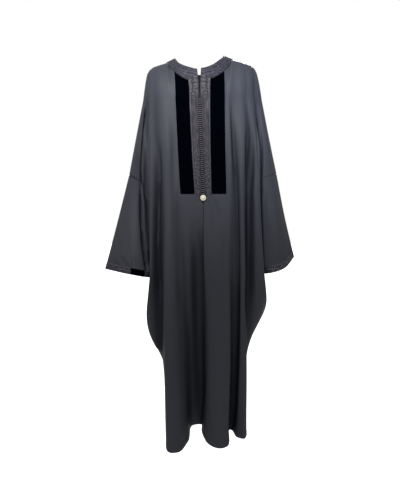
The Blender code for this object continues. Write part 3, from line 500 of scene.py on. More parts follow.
RIGHT_DEPTH = (
    ("knots", 0.105, 0.112, 0.118, 0.123, 0.124, 0.119, 0.112),
    ("braid", 0.104, 0.111, 0.117, 0.128, 0.13, 0.131, 0.127),
    ("velvet", 0.1, 0.11, 0.116, 0.13, 0.132, 0.134, 0.13),
    ("ridge", 0.098, 0.112, 0.119, 0.125, 0.129, 0.129, 0.116),
    ("valley", 0.093, 0.105, 0.111, 0.104, 0.1, 0.086, 0.046),
    ("rise", 0.088, 0.112, 0.12, 0.118, 0.12, 0.113, 0.078),
    ("edge", 0.083, 0.103, 0.112, 0.113, 0.114, 0.112, 0.087),
    ("crease", 0.079, 0.086, 0.091, 0.084, 0.081, 0.078, 0.07),
    ("swell", 0.07, 0.089, 0.097, 0.088, 0.078, 0.062, 0.054),
    ("wing", 0.056, 0.078, 0.085, 0.075, 0.052, 0.044, 0.038),
    ("tuck", 0.044, 0.056, 0.062, 0.06, 0.026, 0.022, 0.02),
)
RIGHT_SIDE = (
    (UNDERARM_Z, 0.2),
    (-0.79, 0.186),
    (-0.885, 0.252),
    (-1.1, 0.18),
    (HEM_Z, 0.165),
)

# Fold lines of the back. Columns: name, cells up to the next line, share of the way out to the
# wing, then the depth behind the shoulder line at the same named heights.
BACK = (
    ("centre", 3, 0.0, 0.1, 0.11, 0.112, 0.106, 0.102, 0.098, 0.092),
    ("ridge", 3, 0.26, 0.099, 0.114, 0.121, 0.126, 0.128, 0.131, 0.131),
    ("valley", 3, 0.47, 0.096, 0.108, 0.108, 0.103, 0.098, 0.091, 0.082),
    ("crest", 3, 0.7, 0.088, 0.107, 0.115, 0.121, 0.121, 0.119, 0.118),
    ("hollow", 2, 0.88, 0.074, 0.093, 0.097, 0.093, 0.082, 0.079, 0.084),
)

# The neck edge and the outer edge of the collar band, from the centre to the shoulder line.
# Columns: name, then out, depth and height on the neck edge, then the same on the band's edge.
NECK_LEFT = (
    ("centre", 0.01, 0.084, -0.0493, 0.0065, 0.095, -0.0885),
    ("knots", 0.0115, 0.084, -0.0493, 0.008, 0.095, -0.0885),
    ("braid", 0.0398, 0.078, -0.0423, 0.0415, 0.0935, -0.0885),
    ("velvet", 0.0694, 0.056, -0.03, 0.093, 0.07, -0.0575),
    ("shoulder", 0.092, 0.0, -0.0045, 0.1255, 0.0, -0.021),
)
NECK_RIGHT = (
    ("centre", 0.0036, 0.084, -0.0465, 0.0014, 0.095, -0.084),
    ("knots", 0.0051, 0.084, -0.0465, 0.0029, 0.095, -0.084),
    ("braid", 0.042, 0.076, -0.0353, 0.0371, 0.0935, -0.084),
    ("velvet", 0.0655, 0.054, -0.0186, 0.0877, 0.069, -0.0556),
    ("shoulder", 0.0867, 0.0, 0.005, 0.1207, 0.0, -0.0089),
)
NECK_BACK = (
    ("centre", 0.0, 0.082, -0.056, 0.0, 0.0925, -0.092),
    ("ridge", 0.04, 0.077, -0.053, 0.05, 0.09, -0.089),
    ("valley", 0.071, 0.054, -0.043, 0.093, 0.064, -0.069),
)

# The shoulder line outside the collar: out and height, up to the top of the arm.
SHOULDER_LEFT = (
    (0.1255, -0.021), (0.15, -0.0285), (0.171, -0.0355), (0.185, -0.0455), (0.1934, -0.058),
)
SHOULDER_RIGHT = (
    (0.1207, -0.0089), (0.1566, -0.0185), (0.185, -0.029), (0.1985, -0.0385), (0.2057, -0.05),
)

# Lines that run over the dropped sleeve, from the underarm to the top of the arm. Columns: name,
# cells up to the next line, then out, depth and height at the yoke, half way and at the armhole.
ARM_LEFT = (
    ("under", 2, 0.196, 0.036, YOKE_Z, 0.174, 0.03, -0.385, 0.152, 0.0, UNDERARM_Z),
    ("recess", 2, 0.201, 0.031, YOKE_Z, 0.198, 0.026, -0.362, 0.205, 0.022, -0.51),
    ("fold", 2, 0.2055, 0.027, YOKE_Z, 0.214, 0.044, -0.335, 0.2175, 0.043, -0.4626),
    ("outer", 2, 0.208, 0.016, YOKE_Z, 0.2315, 0.033, -0.312, 0.242, 0.036, -0.44),
    ("top", 0, 0.2112, 0.0, YOKE_Z, 0.2395, 0.0, -0.293, 0.267, 0.0, -0.432),
)
ARM_RIGHT = (
    ("under", 2, 0.211, 0.036, YOKE_Z, 0.208, 0.034, -0.385, 0.2, 0.0, UNDERARM_Z),
    ("recess", 2, 0.2165, 0.032, YOKE_Z, 0.226, 0.036, -0.362, 0.224, 0.036, -0.478),
    ("fold", 2, 0.2215, 0.027, YOKE_Z, 0.238, 0.042, -0.335, 0.237, 0.047, -0.443),
    ("outer", 2, 0.2265, 0.016, YOKE_Z, 0.25, 0.032, -0.312, 0.263, 0.037, -0.434),
    ("top", 0, 0.2299, 0.0, YOKE_Z, 0.2585, 0.0, -0.293, 0.2885, 0.0, -0.429),
)

# The same lines further down the sleeve: out, depth and height half way and at the cuff.
CUFF_LEFT = (
    ("under", 0.16, 0.0, -0.715, 0.168, 0.0, -0.822),
    ("recess", 0.195, 0.026, -0.672, 0.184, 0.034, -0.819),
    ("fold", 0.214, 0.044, -0.645, 0.207, 0.047, -0.815),
    ("outer", 0.262, 0.046, -0.625, 0.262, 0.05, -0.805),
    ("top", 0.3145, 0.0, -0.612, 0.364, 0.0, -0.7915),
)
CUFF_RIGHT = (
    ("under", 0.213, 0.0, -0.707, 0.222, 0.0, -0.806),
    ("recess", 0.229, 0.036, -0.65, 0.238, 0.038, -0.804),
    ("fold", 0.25, 0.048, -0.62, 0.264, 0.048, -0.8),
    ("outer", 0.293, 0.043, -0.604, 0.32, 0.037, -0.783),
    ("top", 0.3215, 0.0, -0.588, 0.3605, 0.0, -0.745),
)


def row_at(z):
    """The row number of a body panel at height z, from the yoke down."""
    return YOKE_ROW + YOKE_Z - z


PLACKET_ROW = row_at(PLACKET_Z)
POINT_ROW = row_at(PLACKET_POINT_Z)
UNDERARM_ROW = row_at(UNDERARM_Z)
HEM_ROW = row_at(HEM_Z)


def column(table, number):
    """One column of a table."""
    return [row[number] for row in table]


def triples(table, first):
    """Out, depth and height from three columns of a table."""
    return np.array([row[first:first + 3] for row in table])


def clamped(amount):
    """An amount kept between 0 and 1."""
    return np.clip(amount, 0.0, 1.0)


def eased(share):
    """A share from 0 to 1 with a soft start and end."""
    return share * share * (3 - 2 * share)


def curve_through(points, knots, at):
    """A smooth curve through points at their knots, read at each place in at."""
    points = np.asarray(points, float).reshape(len(knots), -1)
    knots = np.asarray(knots, float)
    steps = np.diff(knots)
    slopes = np.diff(points, axis=0) / steps[:, None]
    tangents = np.vstack([slopes[:1], slopes, slopes[-1:]])
    before, after = np.r_[steps[0], steps], np.r_[steps, steps[-1]]
    share = (before / (before + after))[:, None]
    tangents = tangents[:-1] * (1 - share) + tangents[1:] * share
    at = np.atleast_1d(np.asarray(at, float))
    cell = np.clip(np.searchsorted(knots, at, side="right") - 1, 0, len(steps) - 1)
    u = ((at - knots[cell]) / steps[cell])[:, None]
    reach = steps[cell][:, None]
    start = (1 + 2 * u) * (1 - u) ** 2 * points[cell] + u * (1 - u) ** 2 * reach * tangents[cell]
    end = u * u * (3 - 2 * u) * points[cell + 1] + u * u * (u - 1) * reach * tangents[cell + 1]
    return start + end


def across(points, places):
    """A smooth curve over one row of line points, read at fractional line numbers."""
    steps = np.maximum(np.linalg.norm(np.diff(points, axis=0), axis=1), TINY)
    knots = np.r_[0.0, np.cumsum(steps)]
    return curve_through(points, knots, np.interp(places, np.arange(len(knots)), knots))


def down(heights, values, z):
    """One line's value at height z, smooth between its named heights."""
    return float(curve_through(values, -np.asarray(heights, float), -z)[0, 0])


def centre_at(z):
    """Place to the right and depth of the centre-front line."""
    heights = column(CENTRE, 0)
    return down(heights, column(CENTRE, 1), z), down(heights, column(CENTRE, 2), z)


def hem_share(taper, z):
    """Share of the way from the taper down to the hem at height z."""
    return max(0.0, (taper - z) / (taper - HEM_Z))


class Side:
    """The tables of one side of the garment, with sign -1 on the left and +1 on the right."""

    def __init__(self, sign, heights, out, depth, side, neck, shoulder, arm, cuff):
        self.sign = sign
        self.heights = heights
        self.out = out
        self.depth = depth
        self.side = side
        self.neck = neck
        self.shoulder = shoulder
        self.arm = arm
        self.cuff = cuff
        self.side_line = len(out) + 1

    def side_out(self, z):
        """How far out the side seam lies."""
        return down(column(self.side, 0), column(self.side, 1), z)

    def folds_at(self, z):
        """Out, depth and rise of every body fold line of the front at height z."""
        x, depth = centre_at(z)
        rows = [(self.sign * x, depth, CENTRE_RISE * hem_share(TAPER_Z, z))]
        low = hem_share(self.heights[-2], z)
        for (_, _, *out, rise), (_, *deep) in zip(self.out, self.depth):
            rows.append((down(self.heights, out, z), down(self.heights, deep, z), rise * low))
        return np.array(rows)

    def ridge_height(self, out):
        """Height of the shoulder line outside the collar."""
        return float(np.interp(out, column(self.shoulder, 0), column(self.shoulder, 1)))

    def arm_at(self, z):
        """Out, depth and height of the sleeve lines for the body row at height z."""
        share = (YOKE_Z - z) / (YOKE_Z - UNDERARM_Z)
        return np.array([curve_through(line[2:], THREE_KNOTS, share)[0] for line in self.arm])

    def arm_cells(self):
        """Cells between neighbouring lines of the sleeve."""
        return column(self.arm, 1)[:-1]


LEFT = Side(-1, LEFT_HEIGHTS, LEFT_OUT, LEFT_DEPTH, LEFT_SIDE, NECK_LEFT, SHOULDER_LEFT, ARM_LEFT,
            CUFF_LEFT)
RIGHT = Side(1, RIGHT_HEIGHTS, RIGHT_OUT, RIGHT_DEPTH, RIGHT_SIDE, NECK_RIGHT, SHOULDER_RIGHT,
             ARM_RIGHT, CUFF_RIGHT)


def places_along(cells):
    """Fractional line numbers, with each cell between two lines cut into finer ones."""
    places = [0.0]
    for line, cell_count in enumerate(cells):
        count = cell_count * FINE_ACROSS
        places += [line + (k + 1) / count for k in range(count)]
    return np.array(places)


def with_seam(lines, tuck, seam):
    """The body's lines and the side seam, with a last point that meets the seam squarely."""
    return np.vstack([lines, seam, (tuck[0], -tuck[1], seam[2])])


class Panel:
    """One half of the front or the back, read at any place across and any row down.

    Rows are counted from 0 at the neck edge to 1 at the band's edge and 2 at the yoke, and on
    from there by metres of height. Places are fold line numbers from the centre outwards.
    """

    def __init__(self, side, back):
        self.side = side
        self.back = back
        self.neck = NECK_BACK + (side.neck[-1],) if back else side.neck
        self.neck_end = len(self.neck) - 1
        if back:
            cells = column(BACK, 1) + column(side.out, 1)[-2:]
        else:
            cells = [1] + column(side.out, 1)
        self.seam_line = len(cells)
        self.last = self.seam_line + len(side.arm) - 1
        self.places = places_along(cells + side.arm_cells())

    def lines(self, z):
        """Out, depth and height of the body's own fold lines at height z.

        The wing and the tuck of the back mirror those of the front.
        """
        rows = self.side.folds_at(z)
        rows[:, 2] += z
        if not self.back:
            return rows
        wing, tuck = rows[-2:, :2]
        inner = [(share * wing[0], down(self.side.heights, deep, z)) for _, _, share, *deep in BACK]
        return np.column_stack([np.vstack([inner, wing, tuck]), np.full(len(BACK) + 2, z)])

    def full_row(self, z):
        """A row above the underarm, which goes on over the dropped sleeve."""
        body = self.lines(z)
        body[:, 2] = z
        arm = self.side.arm_at(z)
        smooth = across(np.vstack([body, arm]), self.places)
        inner = self.places <= self.seam_line
        creased = np.zeros_like(smooth)
        creased[inner] = across(with_seam(body, body[-1], arm[0]), self.places[inner])
        creased[~inner] = across(arm, self.places[~inner] - self.seam_line)
        share = clamped((YOKE_Z - z) / (YOKE_Z - PLACKET_Z))
        row = smooth + (creased - smooth) * share ** 2
        near = np.minimum(self.places - self.seam_line, self.last - self.places) / CLEAR_PLACES
        row[:, 1] = np.maximum(row[:, 1], SEAM_CLEAR * clamped(near))
        row[self.places >= self.last, 1] = 0.0
        return row

    def skirt_row(self, z):
        """A row below the underarm, which ends at the side seam."""
        lines = self.lines(z)
        seam = (self.side.side_out(z), 0.0, z)
        row = across(with_seam(lines, lines[-1], seam), self.places)
        row[self.places >= self.seam_line, 1] = 0.0
        return row

    def start_row(self):
        """The lower edge of the collar band and, outside it, the shoulder line."""
        row = across(triples(self.neck, 4), np.minimum(self.places, self.neck_end))
        row[:, 1] = np.maximum(row[:, 1], 0.0)
        first, tip = self.side.shoulder[0][0], self.side.shoulder[-1][0]
        yoke = self.full_row(YOKE_Z)[:, 0]
        near = yoke[self.places <= self.neck_end][-1]
        for k in np.nonzero(self.places > self.neck_end)[0]:
            out = first + (tip - first) * (yoke[k] - near) / (yoke[-1] - near)
            row[k] = (out, 0.0, self.side.ridge_height(out))
        return row

    def band_row(self, share, start):
        """A row of the collar band, at its share of the way to the band's edge."""
        edge = across(triples(self.neck, 1), self.places)
        edge[:, 1] = np.maximum(edge[:, 1], 0.0)
        row = edge + (start - edge) * share
        crown = (1 - (2 * share - 1) ** 2) * BAND_CROWN
        row[:, 1] += crown * clamped(row[:, 1] / DEPTH_EASE)
        return row

    def shoulder_row(self, share, start):
        """A row that rounds the shoulder, at its share of the way from the band to the yoke."""
        yoke = self.full_row(YOKE_Z)
        steep = np.clip(start[:, 1] / np.maximum(yoke[:, 1], TINY), 0.0, STEEPEST)
        first = np.arcsin(steep)
        top = YOKE_Z + (start[:, 2] - YOKE_Z) / np.cos(first)
        turn = first + (math.pi / 2 - first) * share
        along = (np.sin(turn) - steep) / (1 - steep)
        falling = SHOULDER_ROUND * along + (1 - SHOULDER_ROUND) * (1 - np.cos(turn))
        along = np.where(start[:, 1] < TINY, falling, along)
        out = start[:, 0] + (yoke[:, 0] - start[:, 0]) * along
        height = YOKE_Z + (top - YOKE_Z) * np.cos(turn)
        row = np.column_stack([out, yoke[:, 1] * np.sin(turn), height])
        if not self.back:
            self.open_slit(row, start, yoke)
        return row

    def open_slit(self, row, start, yoke):
        """Parts the two fronts above the yoke, in a narrow slit that closes at the first knot."""
        share = (row[:, 2] - YOKE_Z) / (start[:, 2] - YOKE_Z)
        centre = yoke[0, 0] + (start[0, 0] - yoke[0, 0]) * share
        lip = centre + SLIT_LIP + (PLACKET_HALF - SLIT_LIP) * (1 - share)
        inner = self.places <= SLIT_PLACE
        row[inner, 0] = (centre + (lip - centre) * self.places)[inner]
        beyond = (self.places - SLIT_PLACE) / SLIT_EASE
        beside = (beyond > 0) & (beyond < 1)
        row[beside, 0] = (lip + (row[:, 0] - lip) * beyond)[beside]

    def row(self, v):
        """Out, depth and height of every place on row v."""
        if v < YOKE_ROW:
            start = self.start_row()
            on_band = v <= BAND_ROW
            return self.band_row(v, start) if on_band else self.shoulder_row(v - BAND_ROW, start)
        z = YOKE_Z + YOKE_ROW - v
        return self.full_row(z) if z > UNDERARM_Z - TINY else self.skirt_row(z)

    def points(self, rows):
        """World points of every row and place."""
        found = np.array([self.row(v) for v in rows])
        found[..., 0] *= self.side.sign
        found[..., 1] *= 1 if self.back else -1
        return found


class Cloth:
    """A finely divided surface: points by row and place, and which of its cells are cloth."""

    def __init__(self, points, cells, rows, places, flip, ring=False, shade=None):
        self.points = points
        self.cells = cells
        self.rows = rows
        self.places = places
        self.flip = flip
        self.ring = ring
        self.shade = shade
        self.normals = self.find_normals()

    def find_normals(self):
        """The outward direction at every point, averaged over the cells that meet there."""
        p = self.points
        turn = np.cross(p[1:, 1:] - p[:-1, :-1], p[:-1, 1:] - p[1:, :-1])
        turn *= (-1.0 if self.flip else 1.0) * self.cells[..., None]
        total = np.zeros_like(p)
        total[:-1, :-1] += turn
        total[1:, :-1] += turn
        total[:-1, 1:] += turn
        total[1:, 1:] += turn
        if self.ring:
            total[:, 0] += total[:, -1]
            total[:, -1] = total[:, 0]
        total[np.abs(p[..., 1]) < TINY, 1] = 0.0
        return total / np.maximum(np.linalg.norm(total, axis=-1, keepdims=True), TINY ** 2)

    def moved(self, amount, shade):
        """The same surface with every point moved out by its amount, and given its shade."""
        points = self.points + self.normals * amount[..., None]
        return Cloth(points, self.cells, self.rows, self.places, self.flip, self.ring, shade)

    def at(self, rows, places):
        """Points and outward directions at any row and place numbers."""
        i = np.interp(rows, self.rows, np.arange(len(self.rows)))
        j = np.interp(places, self.places, np.arange(len(self.places)))
        i0 = np.clip(i.astype(int), 0, len(self.rows) - 2)
        j0 = np.clip(j.astype(int), 0, len(self.places) - 2)
        u, w = (i - i0)[..., None], (j - j0)[..., None]
        found = []
        for field in (self.points, self.normals):
            upper = field[i0, j0] * (1 - w) + field[i0, j0 + 1] * w
            lower = field[i0 + 1, j0] * (1 - w) + field[i0 + 1, j0 + 1] * w
            found.append(upper * (1 - u) + lower * u)
        length = np.maximum(np.linalg.norm(found[1], axis=-1, keepdims=True), TINY)
        return found[0], found[1] / length

    def lengths(self):
        """Metres along its row and up its column from the lower edge, at every point."""
        over = np.zeros(self.points.shape[:2])
        fall = np.zeros_like(over)
        over[:, 1:] = np.cumsum(np.linalg.norm(np.diff(self.points, axis=1), axis=-1), axis=1)
        fall[1:] = np.cumsum(np.linalg.norm(np.diff(self.points, axis=0), axis=-1), axis=0)
        return np.stack([over, fall[-1] - fall], axis=-1)


def row_numbers():
    """Every row number down a body panel, closer at the armhole and in the hem band."""
    band = np.arange(BAND_STEPS) / BAND_STEPS
    rounding = BAND_ROW + np.arange(ROUNDING_STEPS) / ROUNDING_STEPS
    upper = np.arange(YOKE_ROW, UNDERARM_ROW - ROW_STEP, ROW_STEP)
    lower = np.arange(UNDERARM_ROW, HEM_ROW - HEM_BAND - ROW_STEP / 2, ROW_STEP)
    edge = HEM_ROW - HEM_BAND * np.array(HEM_ROWS)
    return np.concatenate([band, rounding, upper, [UNDERARM_ROW - SEAM_ROLL], lower, edge])


def panel_cloth(panel, rows):
    """One body panel's surface before its creases."""
    v, place = np.meshgrid(rows, panel.places, indexing="ij")
    used = ~((v < BAND_ROW - TINY) & (place > panel.neck_end + TINY))
    used &= ~((v > UNDERARM_ROW + TINY) & (place > panel.seam_line + TINY))
    cells = used[:-1, :-1] & used[1:, :-1] & used[:-1, 1:] & used[1:, 1:]
    flip = (panel.side.sign < 0) != panel.back
    return Cloth(panel.points(rows), cells, rows, panel.places, flip)


def joined_back(left, right):
    """Both back halves as one surface, whose places are negative on the left."""
    points = np.concatenate([left.points[:, ::-1], right.points[:, 1:]], axis=1)
    cells = np.concatenate([left.cells[:, ::-1], right.cells], axis=1)
    places = np.concatenate([-left.places[::-1], right.places[1:]])
    return Cloth(points, cells, left.rows, places, True)


def sleeve_cloth(front, back, side):
    """The sleeve tube, from the underarm over the front to the top and back down the rear half.

    Rows run from 0 at the armhole to 1 at the band's edge and 2 at the cuff.
    """
    under = int(np.argmin(np.abs(front.rows - UNDERARM_ROW)))
    places = places_along(side.arm_cells())
    count = len(places)
    rows = np.concatenate([np.linspace(0.0, 1.0, SLEEVE_ROWS), 1 + np.array(CUFF_ROWS)])
    rows = np.insert(rows, 1, rows[1] / 2)
    halves = []
    for face, plain in ((-1, front), (1, back)):
        armhole = plain.points[under, -count:]
        middle, cuff = [across(triples(side.cuff, first), places) for first in (1, 4)]
        for marks in (middle, cuff):
            marks[:, 0] *= side.sign
            marks[:, 1] = np.maximum(marks[:, 1], 0.0) * face
            marks[[0, -1], 1] = 0.0
        grid = np.zeros((len(rows), count, 3))
        for k in range(count):
            band = 1 - CUFF_BAND / np.linalg.norm(cuff[k] - armhole[k])
            shares = np.where(rows <= 1, rows * band, band + (1 - band) * (rows - 1))
            grid[:, k] = curve_through((armhole[k], middle[k], cuff[k]), THREE_KNOTS, shares)
        halves.append(grid)
    points = np.concatenate([halves[0], halves[1][:, -2::-1]], axis=1)
    points[:, -1] = points[:, 0]
    cells = np.ones((points.shape[0] - 1, points.shape[1] - 1), bool)
    round_places = np.concatenate([places, 2 * places[-1] - places[-2::-1]])
    return Cloth(points, cells, rows, round_places, side.sign < 0, ring=True)


def along_path(spot, marks, width):
    """How near each (x, z) spot lies to a smooth line through three marks, from 0 to 1.

    It falls off over the width and towards the line's ends.
    """
    path = curve_through(marks, THREE_KNOTS, np.linspace(0.0, 1.0, CREASE_STEPS + 1))
    nearest = np.full(spot.shape[:2], np.inf)
    along = np.zeros_like(nearest)
    for k in range(CREASE_STEPS):
        way = path[k + 1] - path[k]
        share = clamped((spot - path[k]) @ way / (way @ way))
        gap = np.linalg.norm(spot - path[k] - share[..., None] * way, axis=-1)
        along = np.where(gap < nearest, (k + share) / CREASE_STEPS, along)
        nearest = np.minimum(gap, nearest)
    fade = eased(clamped(np.minimum(along, 1 - along) * CREASE_FADE))
    return np.exp(-(nearest / width) ** 2) * fade


def crease_heights(points, face):
    """How far the creases and soft waves of one face move each point out."""
    spot = points[..., [0, 2]]
    total = np.zeros(points.shape[:2])
    for *marks, width, height in CREASES[face]:
        total += height * along_path(spot, marks, width)
    x, z = spot[..., 0], spot[..., 1]
    for height, wide, tall, turn in WAVES:
        drift = np.sin(2 * math.pi * (z / tall + turn))
        total += height * np.sin(2 * math.pi * x / wide + WAVE_DRIFT * drift) * drift
    return total


def fold_shade(points, face):
    """How much of the colour the painted shade in one face's folds takes away at each point."""
    left = np.ones(points.shape[:2])
    for *marks, width, strength in SHADES[face]:
        left *= 1 - strength * along_path(points[..., [0, 2]], marks, width)
    return 1 - left


def settle_panel(cloth, side_line, face):
    """Adds the creases, the rolled seams, the hem band and the painted shade to a body panel."""
    v, place = np.meshgrid(cloth.rows, np.abs(cloth.places), indexing="ij")
    beyond = place > side_line
    hold = clamped(np.abs(cloth.points[..., 1]) / SEAM_HOLD)
    hold[beyond] *= clamped((UNDERARM_ROW - v) / SEAM_HOLD)[beyond]
    hold[v <= BAND_ROW] = 0.0
    dip = beyond & (np.abs(v - UNDERARM_ROW) < TINY)
    # Painted shade in the folds, along the centre seam below the placket and in the slit
    shade = fold_shade(cloth.points, face)
    if face == "front":
        hold *= clamped(place / BRAID_PLACE)
        hold[(place < TRIM_PLACES) & (v < POINT_ROW)] = 0.0
        dip |= (place < TINY) & (v > POINT_ROW)
        seam = np.interp(v, [row_at(z) for z in column(CENTRE, 0)], column(CENTRE, 1))
        by_seam = (v > POINT_ROW) & (np.abs(cloth.points[..., 0] - seam) < SEAM_SHADE_WIDE)
        shade[by_seam] = np.maximum(shade, SEAM_SHADE)[by_seam]
        shade[(place < SLIT_PLACE) & (v > BAND_ROW) & (v < POINT_ROW)] = SLIT_SHADE
    rise = np.interp((HEM_ROW - v) / HEM_BAND, *zip(*HEM_PROFILE))
    return cloth.moved(crease_heights(cloth.points, face) * hold - SEAM_DIP * dip + rise, shade)


def settle_sleeve(cloth, name):
    """Adds the creases and puckers of a sleeve on both halves, and its painted shade."""
    in_front = cloth.points[..., 1] <= 0
    front, rear = [crease_heights(cloth.points, f"{name}_{half}") for half in ("front", "rear")]
    rows = cloth.rows[:, None]
    hold = clamped(np.abs(cloth.points[..., 1]) / SLEEVE_HOLD)
    hold = hold * clamped(rows * ARMHOLE_FADE) * clamped((SLEEVE_END_ROW - rows) * CUFF_FADE)
    # Painted shade in the folds of the front half, and along the armhole seam
    shade = np.where(in_front, fold_shade(cloth.points, f"{name}_front"), 0.0)
    shade = np.where(rows < ARMHOLE_ROWS, np.maximum(shade, ARMHOLE_SHADE[name]), shade)
    amount = np.where(in_front, front, rear) * hold - SEAM_DIP * (rows < TINY)
    return cloth.moved(amount, shade)


def closed_mesh(name, outer, inner, cells, flip, uv, material, ring=False, shade=None):
    """A closed wall from an outer and an inner grid of points, with its rim and its UV."""
    shape = outer.shape[:2]
    total = shape[0] * shape[1]
    number = np.arange(total).reshape(shape)
    merged = number.copy()
    if ring:
        merged[:, -1] = merged[:, 0]
    i, j = np.nonzero(cells)
    corners = [(i, j), (i + 1, j), (i + 1, j + 1), (i, j + 1)]
    if flip:
        corners = corners[::-1]
    face, mark = [np.stack([grid[a, b] for a, b in corners], axis=1) for grid in (merged, number)]
    edge, edge_mark = [np.stack([corner, np.roll(corner, -1, axis=1)], axis=2).reshape(-1, 2)
                       for corner in (face, mark)]
    free = ~np.isin(edge[:, 0] * total + edge[:, 1], edge[:, 1] * total + edge[:, 0])
    edge, edge_mark = edge[free], edge_mark[free]
    rim = np.column_stack([edge[:, 0], edge[:, 0] + total, edge[:, 1] + total, edge[:, 1]])
    rim_mark = np.column_stack([edge_mark[:, 0], edge_mark, edge_mark[:, 1]])
    faces = np.vstack([face, face[:, ::-1] + total, rim])
    marks = np.vstack([mark, mark[:, ::-1], rim_mark])
    used, compact = np.unique(faces, return_inverse=True)
    points = np.vstack([outer.reshape(-1, 3), inner.reshape(-1, 3)])[used]
    mesh = bpy.data.meshes.new(name)
    mesh.from_pydata(points.tolist(), [], compact.reshape(faces.shape).tolist())
    layer = mesh.uv_layers.new(name="cloth")
    layer.data.foreach_set("uv", uv.reshape(-1, 2)[marks.reshape(-1)].astype(np.float32).ravel())
    # Painted shade at each point; the inside of the wall gets at least the inside's painted shade
    if shade is not None:
        both = np.concatenate([shade.ravel(), np.maximum(shade, INSIDE_SHADE).ravel()])[used]
        mesh.attributes.new("fold", "FLOAT", "POINT").data.foreach_set("value", both)
    return piece_from(name, mesh, material)


def piece_from(name, mesh, material):
    """A named piece from a mesh, shaded smooth apart from its sharp edges."""
    mesh.validate()
    mesh.update()
    mesh.shade_smooth()
    mesh.set_sharp_from_angle(angle=math.radians(SHARP_DEGREES))
    mesh.materials.append(material)
    thing = bpy.data.objects.new(name, mesh)
    bpy.context.scene.collection.objects.link(thing)
    return thing


def cloth_piece(name, cloth, material):
    """A thin wall of cloth, with UV in metres across and up from its lower edge."""
    inner = cloth.points - cloth.normals * CLOTH
    return closed_mesh(name, cloth.points, inner, cloth.cells, cloth.flip, cloth.lengths(),
                       material, cloth.ring, cloth.shade)


def trim_piece(name, cloth, rows, places, low, high, uv, material, face=None):
    """A closed trim that lies above the cloth, from its row and place numbers and heights."""
    points, ways = cloth.at(rows, places)
    outer = points + ways * high[..., None]
    inner = points + ways * low
    turn = np.cross(points[1, 1] - points[0, 0], points[0, 1] - points[1, 0])
    cells = np.ones((rows.shape[0] - 1, rows.shape[1] - 1), bool)
    # Painted shade from the rows of the given face, used on the cuff bands
    shade = None if face is None else fold_shade(points, face)
    return closed_mesh(name, outer, inner, cells, turn @ ways[0, 0] < 0, uv, material, shade=shade)


def strip_grid(steps, count):
    """Shares of the way along and across a trim, as two grids."""
    return np.meshgrid(np.linspace(0.0, 1.0, steps), np.linspace(0.0, 1.0, count), indexing="ij")


def strip_lengths(cloth, rows, places):
    """Metres along a trim, measured on its middle line, as a grid."""
    middle = cloth.at(rows, places)[0][:, rows.shape[1] // 2]
    along = np.zeros(rows.shape)
    along[1:] = np.cumsum(np.linalg.norm(np.diff(middle, axis=0), axis=1))[:, None]
    return along


def rounded(share, power):
    """Height across a trim, 0 at its edges and 1 in its middle, flatter with a higher power."""
    return 1 - np.abs(2 * share - 1) ** power


def braid_height(share, start_gap):
    """Outer height of a braid, with rounded edges, running ribs and a sunk mitre."""
    edge = rounded(share, EDGE_POWER)
    ribs = BRAID_RIB * np.cos(2 * math.pi * BRAID_RIBS * share)
    sunk = MITRE_DIP * np.exp(-(start_gap / MITRE_WIDTH) ** 2)
    level = BRAID_EDGE + (1 - BRAID_EDGE) * edge
    return BRAID_LIFT + (BRAID_HIGH - BRAID_LIFT) * level + ribs * edge - sunk


def velvet_height(share, along):
    """Outer height of a velvet panel, rounded towards its edges."""
    edge = rounded(share, VELVET_POWER) * rounded(along, VELVET_POWER)
    level = VELVET_EDGE + (1 - VELVET_EDGE) * np.sqrt(edge)
    return VELVET_LIFT + (VELVET_HIGH - VELVET_LIFT) * level


def braid_strip(name, cloth, rows, places, width, mitred, material, face=None):
    """One length of braid over the cloth, from row and place numbers along and across it."""
    share = strip_grid(*rows.shape)[1]
    along = strip_lengths(cloth, rows, places)
    high = braid_height(share, along if mitred else 1.0)
    uv = np.stack([share * width, along], axis=-1)
    return trim_piece(name, cloth, rows, places, BRAID_LIFT, high, uv, material, face)


def collar_braid(name, cloth, end, material, mitred=True):
    """The band round the neck, from the mitre at the slit, or from the other shoulder."""
    along, share = strip_grid(COLLAR_STEPS, BRAID_ACROSS)
    start = BRAID_PLACE * share if mitred else -end
    places = start + (end - start) * along
    return braid_strip(name, cloth, share, places, COLLAR_WIDE, mitred, material)


def placket_braid(name, cloth, material):
    """The band down the placket, from the mitre to its point."""
    along, share = strip_grid(PLACKET_STEPS, BRAID_ACROSS)
    end = POINT_ROW + (PLACKET_ROW - POINT_ROW) * share
    rows = share + (end - share) * along
    inner = eased(clamped((rows - SLIT_SHUTS) / (YOKE_ROW - SLIT_SHUTS)))
    places = inner + (BRAID_PLACE - inner) * share
    return braid_strip(name, cloth, rows, places, COLLAR_WIDE, True, material)


def velvet_strip(name, cloth, rows, places, width, metres, material):
    """One velvet piece over the cloth, from row and place numbers along and across it."""
    along, share = strip_grid(*rows.shape)
    uv = np.stack([share * width, metres], axis=-1)
    return trim_piece(name, cloth, rows, places, VELVET_LIFT, velvet_height(share, along), uv,
                      material)


def velvet_panel(name, cloth, material):
    """The velvet beside the placket's braid."""
    along, share = strip_grid(VELVET_STEPS, VELVET_ACROSS)
    start = BAND_ROW + VELVET_INSET
    rows = start + (PLACKET_ROW - start) * along
    places = BRAID_PLACE + VELVET_INSET + (1 - 2 * VELVET_INSET) * share
    metres = (YOKE_Z - PLACKET_Z) * (1 - along)
    return velvet_strip(name, cloth, rows, places, VELVET_WIDE, metres, material)


def cuff_strip(name, cloth, start, end, braid, material, face=None):
    """Part of the band round a cuff, in braid or velvet, between two places round the sleeve."""
    whole = cloth.places[-1]
    along, share = strip_grid(2 + int(round((end - start) * CUFF_STEPS)), CUFF_ACROSS)
    rows = 1 + CUFF_MARGIN + (1 - 2 * CUFF_MARGIN) * share
    inset = 0.0 if braid else CUFF_VELVET_INSET
    places = np.mod(start + inset + (end - start - 2 * inset) * along, whole)
    if end == whole:
        places[-1] = whole
    if braid:
        return braid_strip(name, cloth, rows, places, CUFF_BAND, False, material, face)
    metres = strip_lengths(cloth, rows, places)
    return velvet_strip(name, cloth, rows, places, CUFF_BAND, metres, material)


